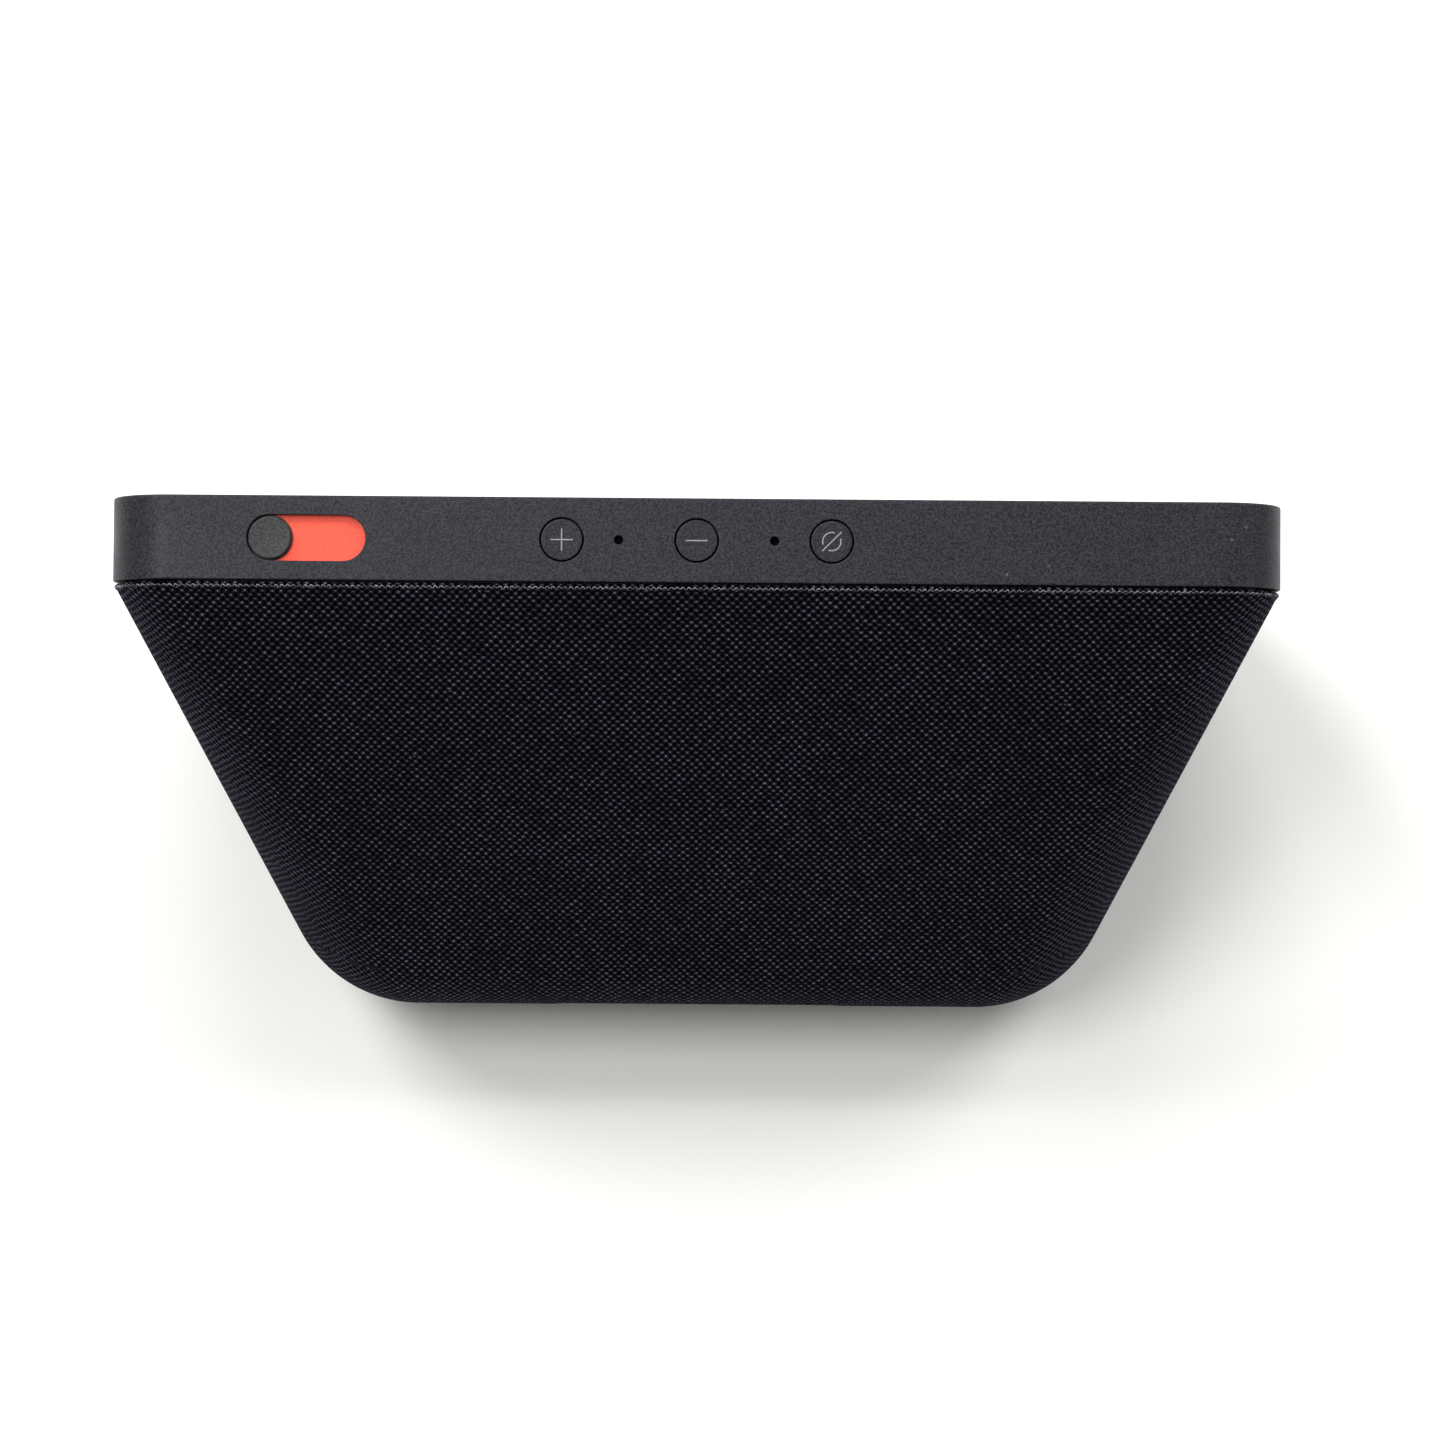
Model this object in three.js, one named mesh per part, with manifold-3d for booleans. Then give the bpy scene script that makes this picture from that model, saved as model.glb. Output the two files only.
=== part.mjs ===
// A smart speaker with a tilted touch display: a framed screen in front, and behind it a fabric-wrapped wedge
// that holds two side-firing drivers and a passive radiator. Millimetres, +Z up, the screen faces -Y,
// and the origin is the centre of the footprint on the surface that the speaker stands on.
import * as THREE from "three";
import { ConvexGeometry } from "three/addons/geometries/ConvexGeometry.js";
import { mergeVertices } from "three/addons/utils/BufferGeometryUtils.js";
import Module from "manifold-3d";

const wasm = await Module();
wasm.setup();

// ---- Driving dimensions ----
const overallWidth = 200.4;
const overallDepth = 99.1;
const tilt = THREE.MathUtils.degToRad(17); // the screen leans back by this
const gap = 0.3; // between pieces that rest on each other

// In the display's own frame, x runs along the screen, w backwards from its face and v up along it.
const frame = { height: 136.2, depth: 14.3, corner: 13, wall: 2.4, rim: 0.9, lift: 1.5 };
const ledge = { thickness: 0.8, reach: 3.5 };
const glass = { thickness: 1.1, recess: 0.3 };
const panel = { sideBorder: 11.2, endBorder: 11.6, thickness: 4.2 };
const chassis = {
  thickness: 1.5,
  bottom: 3.2,
  notchWidth: 44,
  notchTop: 9,
  standoff: 5,
  standoffRadius: 2.6,
};

const body = {
  shadowGap: 0.9, // the slot between the frame and the fabric
  inset: 0.6, // the fabric's edge lies inside the frame's outline
  bottom: 2, // height of the fabric's underside
  noseRadius: 26,
  noseHalfWidth: 79.4,
  fabric: 0.9,
  wall: 2.4,
};
// The housing's lip plugs into the frame, and its tabs take the chassis screws.
const lip = { behindChassis: 1.8, tail: 3.3, inset: 3.2, thickness: 2.2 };
const tab = { fromSide: 7.8, fromBottom: 16, fromTop: 24.2, half: 4.5, depth: 5 };
// The foot's outline keeps these distances to the frame, the nose and the sides.
const base = { front: 5.9, back: 4.6, sides: 32.2, nose: 6.4, corner: 11, overlap: 4, foot: 1.7, plate: 2.4 };
const gusset = { half: 5, height: 5, reach: 16, endInset: 10, frontInset: 14, backInset: 7 };

const screw = { head: 2, headHeight: 1.1, shank: 1.2, hole: 1.5, sides: 12 };
const button = {
  radius: 3.6,
  clearance: 0.3,
  catch: 0.45,
  pitch: 22.85,
  thickness: 0.8,
  travel: 0.6,
  sink: 0.1, // below the frame's top
};
const stem = { radius: 1.2, length: 0.8 };
const keyBoard = { thickness: 1, width: 8.8, boss: 2.4, bossHeight: 4.2, margin: 4 };
const tactSwitch = { side: 4.5, height: 1.2, plunger: 0.4, plungerRadius: 1.1 };
const mic = { offset: 13.2, hole: 0.7, gasket: 2, length: 3.4, width: 2.6, height: 1, port: 0.4 };

const shutter = {
  offset: -1.3, // of the slot's middle, from halfway between the key board and the side
  travel: 12.3,
  knob: 3.65,
  clearance: 0.25,
  roof: 1.1, // the frame's wall left above the sliding strip
  strip: 0.8,
  overlap: 0.5, // the strip is this much wider than the slot, each way
  track: 0.8,
  trackEnd: 2, // beyond the slot
  stem: 1.5,
  blade: 0.5,
  bladeHalf: 4.5,
};
const camera = { width: 8, height: 6.2, depth: 5, below: 8, barrel: 2.6, barrelLength: 0.6, lens: 1.7 };
const sensor = { fromCamera: 11.5, width: 3, height: 2.2, depth: 1.4, behindGlass: 1.5 };

const driver = {
  radius: 23,
  flangeWidth: 5.5,
  flange: 1.6,
  depth: 9,
  magnet: 13.5,
  magnetDepth: 10,
  coil: 5.4,
  coilWall: 0.8,
  play: 0.4,
  paper: 0.6,
  inset: 3, // below the housing's inner face
  behindMiddle: 2.7,
  aboveNose: 5.3,
};
const radiator = { radius: 29, rim: 2.2, surround: 5.2, plate: 1.4, share: 0.47, inset: 4.2, flange: 1.6 };
const grille = { pitch: 6.4, slot: 3.4, rows: 3, margin: 2 };
const spigot = { inside: 2.2, outside: 1.4, driverLength: 12, radiatorLength: 8 };

const mainBoard = { width: 108, height: 62, thickness: 1.6, low: 16, screwInset: 5 };
const shield = { left: 26, right: 18, below: 16, above: 18, height: 2.6 };
const spreader = { margin: 8, thickness: 1.2, fins: 7, fin: 1.4, finHeight: 5, lead: 4 };
const ribbon = { half: 15, thickness: 0.3, fold: 6.2, overlap: 8 };
const ports = { width: 54, height: 14, setback: 12.6, plate: 1.5, wall: 1.5, clearance: 1.1, boardDepth: 15 };
const powerJack = { x: -12, width: 9.2, height: 10, depth: 12, collar: 3.8, bore: 2.9, pin: 0.9 };
const servicePort = { x: 10, width: 7.8, height: 3, depth: 5.5, wall: 0.5, tongue: 0.5 };

// ---- Derived places ----
const frontY = -overallDepth / 2;
const frontZ = frame.lift + frame.depth * Math.sin(tilt);
const topWall = frame.height - frame.wall; // underside of the frame's top wall
const bodyStart = frame.depth + body.shadowGap;

const glassEnd = glass.recess + glass.thickness;
const ledgeEnd = glassEnd + gap + ledge.thickness;
const panelEnd = glassEnd + gap + panel.thickness;
const panelTop = frame.height - panel.endBorder;
const chassisStart = panelEnd + gap;
const chassisEnd = chassisStart + chassis.thickness;
const boardStart = chassisEnd + chassis.standoff + gap;
const boardMiddle = mainBoard.low + mainBoard.height / 2;
const lipStart = chassisEnd + lip.behindChassis;
const lipEnd = bodyStart + lip.tail;

const keyHole = button.radius + button.clearance;
const flangeRadius = keyHole + button.catch;
const ledgeClearance = 0.35;
const keyLine = ledgeEnd + ledgeClearance + flangeRadius; // keys, microphones and slider lie along this line
const keyPlaces = [button.pitch, 0, -button.pitch];
const flangeTop = topWall - gap;
const flangeBottom = flangeTop - button.thickness;
const stemBottom = flangeBottom - stem.length;
const plungerTop = stemBottom - button.travel - 0.1;
const boardTop = plungerTop - tactSwitch.plunger - tactSwitch.height - gap;
const bossPlace = button.pitch + flangeRadius + 2 * gap + keyBoard.boss + 0.4;

const slotWidth = 2 * (shutter.knob + shutter.clearance);
const slotLength = shutter.travel + slotWidth;
const slotMiddle = (bossPlace + keyBoard.margin + overallWidth / 2) / 2 + shutter.offset;
const shutterRest = slotMiddle + shutter.travel / 2;
const stripHalf = slotWidth / 2 + shutter.overlap;
const stripReach = shutter.travel + slotWidth / 2 + 1.5; // from the knob to the strip's far end
const trackFrom = shutterRest - shutter.travel - stripReach - gap;
const trackTo = slotMiddle + slotLength / 2 + shutter.trackEnd;
const bladeStart = glassEnd + 2 * gap;
const cameraHeight = frame.height - camera.below;

const nose = {
  y: overallDepth / 2 - body.noseRadius,
  z: body.bottom + body.noseRadius,
  x: body.noseHalfWidth - body.noseRadius,
};
// The nose's centre seen in the display's frame.
const noseW = (nose.y - frontY) * Math.cos(tilt) - (nose.z - frontZ) * Math.sin(tilt);
const noseV = (nose.y - frontY) * Math.sin(tilt) + (nose.z - frontZ) * Math.cos(tilt);
// Slope of the line from the body's front edge that touches the nose, so far across and so far along.
const tangent = (across, along) =>
  Math.atan2(across, along) + Math.asin(body.noseRadius / Math.hypot(across, along));
const rearTop = frame.height - body.inset;
const sideStart = overallWidth / 2 - body.inset;
const rearSlope = tangent(noseW - bodyStart, rearTop - noseV);
const sideTaper = Math.PI / 2 - tangent(noseW - bodyStart, sideStart - nose.x);
const skin = body.fabric + gap; // from the fabric's outer face to the housing's

const foot = {
  front: frontY + frame.depth * Math.cos(tilt) + base.front,
  back: nose.y - base.back,
  frontHalf: overallWidth / 2 - base.sides,
  backHalf: nose.x - base.nose,
};
const baseScrews = [-1, 1].flatMap((side) => [
  [side * (foot.frontHalf - gusset.frontInset), foot.front + gusset.endInset],
  [side * (foot.backHalf - gusset.backInset), foot.back - gusset.endInset],
]);
const chassisScrews = [-1, 1].flatMap((side) =>
  [tab.fromBottom, frame.height - tab.fromTop].map((v) => [side * (overallWidth / 2 - tab.fromSide), v]));
const boardScrews = [-1, 1].map((side) => [side * (mainBoard.width / 2 - mainBoard.screwInset),
  boardMiddle + side * (mainBoard.height / 2 - mainBoard.screwInset)]);

const portFace = overallDepth / 2 - ports.setback;
const portBack = portFace - ports.plate;
// The recess starts just above the housing's floor, where that floor curves up into the nose.
const floorRadius = body.noseRadius - skin - body.wall;
const portLow = nose.z - Math.sqrt(floorRadius ** 2 - (portBack - gap - nose.y) ** 2) + ports.clearance;
const portMiddle = portLow + ports.height / 2;

// ---- Solids ----
function solid(geometry) {
  const source = geometry.index ? geometry.toNonIndexed() : geometry;
  const bare = new THREE.BufferGeometry().setAttribute("position", source.getAttribute("position"));
  const merged = mergeVertices(bare, 1e-3);
  const vertProperties = new Float32Array(merged.attributes.position.array);
  const triVerts = new Uint32Array(merged.index.array);
  return new wasm.Manifold(new wasm.Mesh({ numProp: 3, vertProperties, triVerts }));
}

function geometryOf(shape) {
  const mesh = shape.getMesh();
  const positions = new Float32Array(mesh.numVert * 3);
  for (let i = 0; i < mesh.numVert; i++) {
    const first = mesh.numProp * i;
    positions.set(mesh.vertProperties.subarray(first, first + 3), 3 * i);
  }
  const geometry = new THREE.BufferGeometry();
  geometry.setAttribute("position", new THREE.BufferAttribute(positions, 3));
  geometry.setIndex(new THREE.BufferAttribute(new Uint32Array(mesh.triVerts), 1));
  geometry.computeVertexNormals();
  return geometry;
}

const joined = (...parts) => parts.reduce((a, b) => a.add(b));

// A box between two corners.
function block(low, high) {
  const size = high.map((value, k) => value - low[k]);
  const centre = high.map((value, k) => (value + low[k]) / 2);
  return solid(new THREE.BoxGeometry(...size).translate(...centre));
}

// A rounded rectangle, symmetrical about x = 0, as a THREE.Shape.
function roundedRectangle(halfWidth, low, high, corner) {
  const shape = new THREE.Shape();
  shape.absarc(halfWidth - corner, low + corner, corner, -Math.PI / 2, 0);
  shape.absarc(halfWidth - corner, high - corner, corner, 0, Math.PI / 2);
  shape.absarc(-halfWidth + corner, high - corner, corner, Math.PI / 2, Math.PI);
  shape.absarc(-halfWidth + corner, low + corner, corner, Math.PI, 1.5 * Math.PI);
  shape.closePath();
  return shape;
}

// The frame's outline, drawn in by inset, with its corner drawn in as far unless another is given.
const faceOutline = (inset, corner = frame.corner - inset) =>
  roundedRectangle(overallWidth / 2 - inset, inset, frame.height - inset, corner);

// A shape drawn in x and v, filled from w = start to w = end.
function alongW(shape, start, end, curveSegments = 6) {
  const geometry = new THREE.ExtrudeGeometry(shape, {
    depth: end - start,
    bevelEnabled: false,
    curveSegments,
  });
  return solid(geometry.rotateX(Math.PI / 2).translate(0, end, 0));
}

// A shape drawn in x and w (or x and y), filled from v = low to v = high.
function alongV(shape, low, high, curveSegments = 6) {
  const geometry = new THREE.ExtrudeGeometry(shape, {
    depth: high - low,
    bevelEnabled: false,
    curveSegments,
  });
  return solid(geometry.translate(0, 0, low));
}

// A stadium lying along x on the key line, of a given overall length and width.
function stadium(centre, length, width) {
  const half = (length - width) / 2;
  const shape = new THREE.Shape();
  shape.absarc(centre + half, keyLine, width / 2, -Math.PI / 2, Math.PI / 2);
  shape.absarc(centre - half, keyLine, width / 2, Math.PI / 2, 1.5 * Math.PI);
  shape.closePath();
  return shape;
}

function rodAlongV(x, w, radius, low, high, sides = 24) {
  const geometry = new THREE.CylinderGeometry(radius, radius, high - low, sides).rotateX(Math.PI / 2);
  return solid(geometry.translate(x, w, (low + high) / 2));
}

function rodAlongW(x, v, radius, start, end, sides = 16) {
  const geometry = new THREE.CylinderGeometry(radius, radius, end - start, sides);
  return solid(geometry.translate(x, (start + end) / 2, v));
}

// A rod that stands on the key line.
const keyRod = (x, radius, low, high, sides = 32) => rodAlongV(x, keyLine, radius, low, high, sides);

// A closed profile of [radius, height] points, turned about the w axis.
function turned(profile, sides = 24) {
  const points = profile.map(([radius, height]) => new THREE.Vector2(radius, height));
  if (THREE.ShapeUtils.area(points) < 0) points.reverse();
  return solid(new THREE.LatheGeometry([...points, points[0]], sides));
}

const ring = (inner, outer, low, high, sides = 24) =>
  turned([[inner, low], [outer, low], [outer, high], [inner, high]], sides);

// ---- Places ----
const speaker = new THREE.Group();
const display = new THREE.Group();
display.position.set(0, frontY, frontZ);
display.rotation.x = -tilt;
speaker.add(display);
speaker.updateMatrixWorld(true);

const toWorld = (shape, group) => shape.transform(group.matrixWorld.toArray());

// Where a driver or the radiator is seated, with +w outwards.
function addMount(position, axis, angle) {
  const mount = new THREE.Group();
  mount.position.set(...position);
  mount.rotation[axis] = angle;
  display.add(mount);
  mount.updateMatrixWorld(true);
  return mount;
}

function sideMount(side) {
  const w = (bodyStart + noseW) / 2 + driver.behindMiddle;
  const wallFace = sideStart - (w - bodyStart) * Math.tan(sideTaper);
  const x = wallFace - (skin + body.wall + driver.inset) / Math.cos(sideTaper);
  return addMount([side * x, w, noseV + driver.aboveNose], "z", side * (sideTaper - Math.PI / 2));
}

function rearMount() {
  const run = radiator.share * (noseW - bodyStart + body.noseRadius * Math.cos(rearSlope));
  const inset = skin + body.wall + radiator.inset;
  const w = bodyStart + run - inset * Math.cos(rearSlope);
  const v = rearTop - run / Math.tan(rearSlope) - inset * Math.sin(rearSlope);
  return addMount([0, w, v], "x", rearSlope);
}

const sides = { right: sideMount(1), left: sideMount(-1) };
const rear = rearMount();

const finishes = {
  frame: new THREE.MeshStandardMaterial({ color: 0x3b3c41, roughness: 0.55, metalness: 0 }),
  fabric: new THREE.MeshStandardMaterial({ color: 0x15141f, roughness: 0.95, metalness: 0 }),
  glass: new THREE.MeshStandardMaterial({ color: 0x08080a, roughness: 0.08, metalness: 0 }),
  screen: new THREE.MeshStandardMaterial({ color: 0x0c0d10, roughness: 0.3, metalness: 0 }),
  orange: new THREE.MeshStandardMaterial({ color: 0xfe6a50, roughness: 0.6, metalness: 0 }),
  housing: new THREE.MeshStandardMaterial({ color: 0x1b1b1d, roughness: 0.7, metalness: 0 }),
  rubber: new THREE.MeshStandardMaterial({ color: 0x1a1a1c, roughness: 0.9, metalness: 0 }),
  steel: new THREE.MeshStandardMaterial({ color: 0x9a9ca0, roughness: 0.4, metalness: 1 }),
  aluminium: new THREE.MeshStandardMaterial({ color: 0xb4b6b8, roughness: 0.5, metalness: 1 }),
  circuit: new THREE.MeshStandardMaterial({ color: 0x12412c, roughness: 0.6, metalness: 0 }),
  paper: new THREE.MeshStandardMaterial({ color: 0x26262a, roughness: 0.9, metalness: 0 }),
};

function add(group, name, shape, finish) {
  const mesh = new THREE.Mesh(geometryOf(shape), finishes[finish]);
  mesh.name = name;
  group.add(mesh);
}

// ---- The wedge-shaped body ----
// The convex body behind the frame, drawn in by inset. Its front is a rounded rectangle in the display's
// plane,
// and its back is a pair of balls, so that every edge between them is a smooth round.
function wedge(inset, start) {
  const points = [];
  const behind = start - bodyStart;
  const sideways = sideStart - behind * Math.tan(sideTaper) - inset / Math.cos(sideTaper);
  const top = rearTop - behind / Math.tan(rearSlope) - inset / Math.sin(rearSlope);
  const low = (body.bottom + inset - frontZ + start * Math.sin(tilt)) / Math.cos(tilt);
  const outline = roundedRectangle(sideways, low, top, frame.corner - inset);
  for (const point of outline.extractPoints(6).shape)
    points.push(new THREE.Vector3(point.x, start, point.y).applyMatrix4(display.matrixWorld));
  const ball = new THREE.SphereGeometry(body.noseRadius - inset, 24, 16).rotateX(Math.PI / 2);
  const position = ball.getAttribute("position");
  for (const side of [-1, 1])
    for (let i = 0; i < position.count; i++) {
      const point = new THREE.Vector3().fromBufferAttribute(position, i);
      points.push(point.add(new THREE.Vector3(side * nose.x, nose.y, nose.z)));
    }
  return solid(new ConvexGeometry(points));
}

// The foot's outline, a rounded trapezoid drawn in by margin.
function baseOutline(margin) {
  const shape = new THREE.Shape();
  const slant = Math.atan2(foot.frontHalf - foot.backHalf, foot.back - foot.front);
  const arc = (x, y, from, to) => shape.absarc(x, y, base.corner - margin, from, to);
  const front = foot.front + base.corner;
  const back = foot.back - base.corner;
  arc(foot.frontHalf - base.corner, front, -Math.PI / 2, slant);
  arc(foot.backHalf - base.corner, back, slant, Math.PI / 2);
  arc(base.corner - foot.backHalf, back, Math.PI / 2, Math.PI - slant);
  arc(base.corner - foot.frontHalf, front, Math.PI - slant, 1.5 * Math.PI);
  shape.closePath();
  return shape;
}

const portRecess = (margin, start) =>
  block([-ports.width / 2 + margin, start, portLow + margin],
    [ports.width / 2 - margin, overallDepth, portLow + ports.height - margin]);

// A tube from a driver's or the radiator's flange out to the housing's wall.
const seatTube = (radius, length) => ring(radius - spigot.inside, radius + spigot.outside, gap, length);

// Slots that let the sound out, cut in rows within a circle.
function grilleSlots(radius, length) {
  const bars = [];
  for (let k = -grille.rows; k <= grille.rows; k++) {
    const z = k * grille.pitch;
    const half = Math.sqrt(Math.max(0, radius ** 2 - z ** 2)) - grille.margin;
    const [left, right] = [z - grille.slot / 2, z + grille.slot / 2];
    if (half > grille.slot) bars.push(block([left, 1, -half], [right, length, half]));
  }
  return joined(...bars);
}

function lipRing(start, end) {
  const corner = frame.corner - lip.inset + 2;
  const outer = alongW(faceOutline(lip.inset, corner), start, end);
  const innerOutline = faceOutline(lip.inset + lip.thickness, corner - lip.thickness);
  return outer.subtract(alongW(innerOutline, start - 1, end + 1));
}

// The lip, with its tabs, and with room left for the keys and the slider.
function addLip(shell, outside) {
  const keys = block([-bossPlace - keyBoard.margin, 0, panelTop],
    [trackTo + 2 * gap, keyLine + stripHalf + 2 * gap, topWall]);
  const ringFront = toWorld(lipRing(lipStart, bodyStart + 2 * gap).subtract(keys), display);
  const ringBack = toWorld(lipRing(bodyStart + gap, lipEnd), display).intersect(outside);
  let lipped = joined(shell, ringFront, ringBack);
  const edge = overallWidth / 2 - lip.inset - 1;
  for (const [x, v] of chassisScrews) {
    const inner = Math.sign(x) * (Math.abs(x) - tab.half);
    const outer = Math.sign(x) * edge;
    const ear = block([Math.min(inner, outer), lipStart, v - tab.half],
      [Math.max(inner, outer), lipStart + tab.depth, v + tab.half]);
    const hole = rodAlongW(x, v, screw.hole, lipStart - 1, lipStart + tab.depth + 1);
    lipped = lipped.add(toWorld(ear, display)).subtract(toWorld(hole, display));
  }
  return lipped;
}

// The opening in the underside, with gussets that take the base screws.
function addGussets(shell, outside) {
  const roof = body.bottom + skin + body.wall;
  const low = body.bottom + base.plate + 2 * gap;
  let open = shell.subtract(alongV(baseOutline(base.overlap), 0, roof + 0.5));
  for (const [x, y] of baseScrews) {
    const inner = x - Math.sign(x) * gusset.half;
    const outer = x + Math.sign(x) * gusset.reach;
    const ear = block([Math.min(inner, outer), y - gusset.half, low],
      [Math.max(inner, outer), y + gusset.half, low + gusset.height]).intersect(outside);
    open = open.add(ear).subtract(rodAlongV(x, y, screw.hole, 0, low + gusset.height - 1, 16));
  }
  return open;
}

function rearHousing() {
  const outside = wedge(skin, bodyStart + gap);
  let shell = outside.subtract(wedge(skin + body.wall, bodyStart));
  shell = addLip(shell, outside);
  const cone = driver.radius - driver.flangeWidth;
  for (const mount of Object.values(sides)) {
    shell = shell.add(toWorld(seatTube(driver.radius, spigot.driverLength), mount).intersect(outside));
    shell = shell.subtract(toWorld(grilleSlots(cone + grille.margin, 2 * spigot.driverLength), mount));
  }
  shell = shell.add(toWorld(seatTube(radiator.radius, spigot.radiatorLength), rear).intersect(outside));
  const opening = radiator.radius - radiator.rim - radiator.surround + grille.margin;
  shell = shell.subtract(toWorld(grilleSlots(opening, 2 * spigot.radiatorLength), rear));
  shell = addGussets(shell, outside);
  add(speaker, "rear_housing", shell.subtract(portRecess(0, portBack - 1)), "housing");
}

function fabricCover() {
  let cover = wedge(0, bodyStart).subtract(wedge(body.fabric, bodyStart - 0.2));
  cover = cover.subtract(portRecess(0, 0)).subtract(alongV(baseOutline(base.overlap), 0, nose.z));
  add(speaker, "fabric_cover", cover, "fabric");
}

// ---- The underside ----
function underside() {
  add(speaker, "rubber_foot", alongV(baseOutline(0), 0, base.foot), "rubber");
  const low = body.bottom + gap;
  let plate = alongV(baseOutline(base.overlap + gap), low, low + base.plate);
  baseScrews.forEach(([x, y], i) => {
    plate = plate.subtract(rodAlongV(x, y, screw.hole, 0, nose.z, 16));
    plate = plate.subtract(rodAlongV(x, y, screw.head + gap, 0, low + screw.headHeight + gap, 16));
    const head = rodAlongV(x, y, screw.head, low, low + screw.headHeight, screw.sides);
    const shankTop = low + base.plate + gusset.height - 1.4;
    const shank = rodAlongV(x, y, screw.shank, low + 0.5, shankTop, screw.sides);
    add(speaker, `base_screw_${i + 1}`, head.add(shank), "steel");
  });
  add(speaker, "base_plate", plate, "housing");
}

// ---- The frame ----
function frontFrame() {
  const { wall, depth, rim, height } = frame;
  let shape = alongW(faceOutline(0), 0, depth).subtract(alongW(faceOutline(wall), -1, depth + 1));
  const shelf = alongW(faceOutline(wall / 2), glassEnd + gap, ledgeEnd)
    .subtract(alongW(faceOutline(wall + ledge.reach), 0, depth));
  shape = shape.add(shelf).subtract(alongW(faceOutline(rim), -1, glassEnd + gap));
  // Bosses for the key board's two screws.
  for (const x of [-bossPlace, bossPlace]) {
    const boss = keyRod(x, keyBoard.boss, topWall - keyBoard.bossHeight, topWall + 1);
    shape = shape.add(boss).subtract(keyRod(x, screw.hole, topWall - keyBoard.bossHeight - 1, topWall - 1));
  }
  for (const x of keyPlaces) shape = shape.subtract(keyRod(x, keyHole, topWall - 1, height + 1));
  for (const x of [-mic.offset, mic.offset]) {
    shape = shape.subtract(keyRod(x, mic.hole, topWall - 1, height + 1));
  }
  shape = shape.subtract(alongV(stadium(slotMiddle, slotLength, slotWidth), topWall - 1, height + 1, 12));
  // Room under the top wall for the sliding strip and its track, and in the shelf for the blade.
  const room = stripHalf + gap + 0.1;
  const strip = block([trackFrom - gap, keyLine - room, topWall - 1],
    [trackTo + gap, keyLine + room, height - shutter.roof]);
  const bladeRoom = shutter.bladeHalf + 2;
  const blade = block([shutterRest - shutter.travel - bladeRoom, glassEnd - gap, panelTop + gap],
    [shutterRest + bladeRoom, ledgeEnd + gap, topWall]);
  add(display, "front_frame", shape.subtract(strip).subtract(blade), "frame");
}

function screenStack() {
  add(display, "cover_glass", alongW(faceOutline(frame.rim + gap), glass.recess, glassEnd), "glass");
  const half = overallWidth / 2 - panel.sideBorder;
  const screenBlock = block([-half, glassEnd + gap, panel.endBorder], [half, panelEnd, panelTop]);
  add(display, "display_panel", screenBlock, "screen");

  const inner = overallWidth / 2 - frame.wall - 2 * gap;
  const outline = roundedRectangle(inner, chassis.bottom, panelTop, frame.corner - frame.wall);
  let plate = alongW(outline, chassisStart, chassisEnd);
  plate = plate.subtract(block([-chassis.notchWidth / 2, 0, 0],
    [chassis.notchWidth / 2, chassisEnd + 1, chassis.notchTop]));
  for (const [x, v] of boardScrews) {
    plate = plate.add(rodAlongW(x, v, chassis.standoffRadius, chassisEnd - 0.5, boardStart - gap));
    plate = plate.subtract(rodAlongW(x, v, screw.hole, 0, boardStart));
  }
  chassisScrews.forEach(([x, v], i) => {
    plate = plate.subtract(rodAlongW(x, v, screw.hole, 0, chassisEnd + 1));
    const seat = chassisStart - gap;
    const head = rodAlongW(x, v, screw.head, seat - screw.headHeight, seat, screw.sides);
    const shank = rodAlongW(x, v, screw.shank, seat - 0.5, lipStart + tab.depth - 1, screw.sides);
    add(display, `chassis_screw_${i + 1}`, head.add(shank), "steel");
  });
  add(display, "chassis_plate", plate, "aluminium");
}

// ---- Keys and microphones ----
function keys() {
  const names = ["volume_up", "volume_down", "mic_mute"];
  const half = tactSwitch.side / 2;
  const low = boardTop + gap;
  keyPlaces.forEach((x, i) => {
    const cap = joined(
      keyRod(x, button.radius, flangeBottom, frame.height - button.sink),
      keyRod(x, flangeRadius, flangeBottom, flangeTop, 24),
      keyRod(x, stem.radius, stemBottom, flangeBottom + 0.2, 12),
    );
    add(display, `${names[i]}_button`, cap, "frame");
    const can = block([x - half, keyLine - half, low], [x + half, keyLine + half, low + tactSwitch.height]);
    const plunger = keyRod(x, tactSwitch.plungerRadius, low + 0.5, plungerTop, 12);
    add(display, `${names[i]}_switch`, can.add(plunger), "steel");
  });
}

function keyBoardAndScrews() {
  const low = boardTop - keyBoard.thickness;
  let circuit = alongV(stadium(0, 2 * (bossPlace + keyBoard.margin), keyBoard.width), low, boardTop);
  for (const [hand, x] of [["left", -bossPlace], ["right", bossPlace]]) {
    circuit = circuit.subtract(keyRod(x, screw.hole, 0, frame.height, screw.sides));
    const seat = low - gap;
    const head = keyRod(x, screw.head, seat - screw.headHeight, seat, screw.sides);
    const shank = keyRod(x, screw.shank, seat - 0.5, topWall - 1.5, screw.sides);
    add(display, `board_screw_${hand}`, head.add(shank), "steel");
  }
  add(display, "button_board", circuit, "circuit");
}

function microphones() {
  const low = boardTop + gap;
  const high = low + mic.height;
  for (const [hand, x] of [["left", -mic.offset], ["right", mic.offset]]) {
    const can = block([x - mic.length / 2, keyLine - mic.width / 2, low],
      [x + mic.length / 2, keyLine + mic.width / 2, high]);
    const port = keyRod(x, mic.port, low + mic.height / 2, high + 1);
    add(display, `microphone_${hand}`, can.subtract(port), "steel");
    const bore = keyRod(x, mic.hole, 0, frame.height);
    const gasket = keyRod(x, mic.gasket, high + gap, topWall - gap).subtract(bore);
    add(display, `mic_gasket_${hand}`, gasket, "rubber");
  }
}

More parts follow.
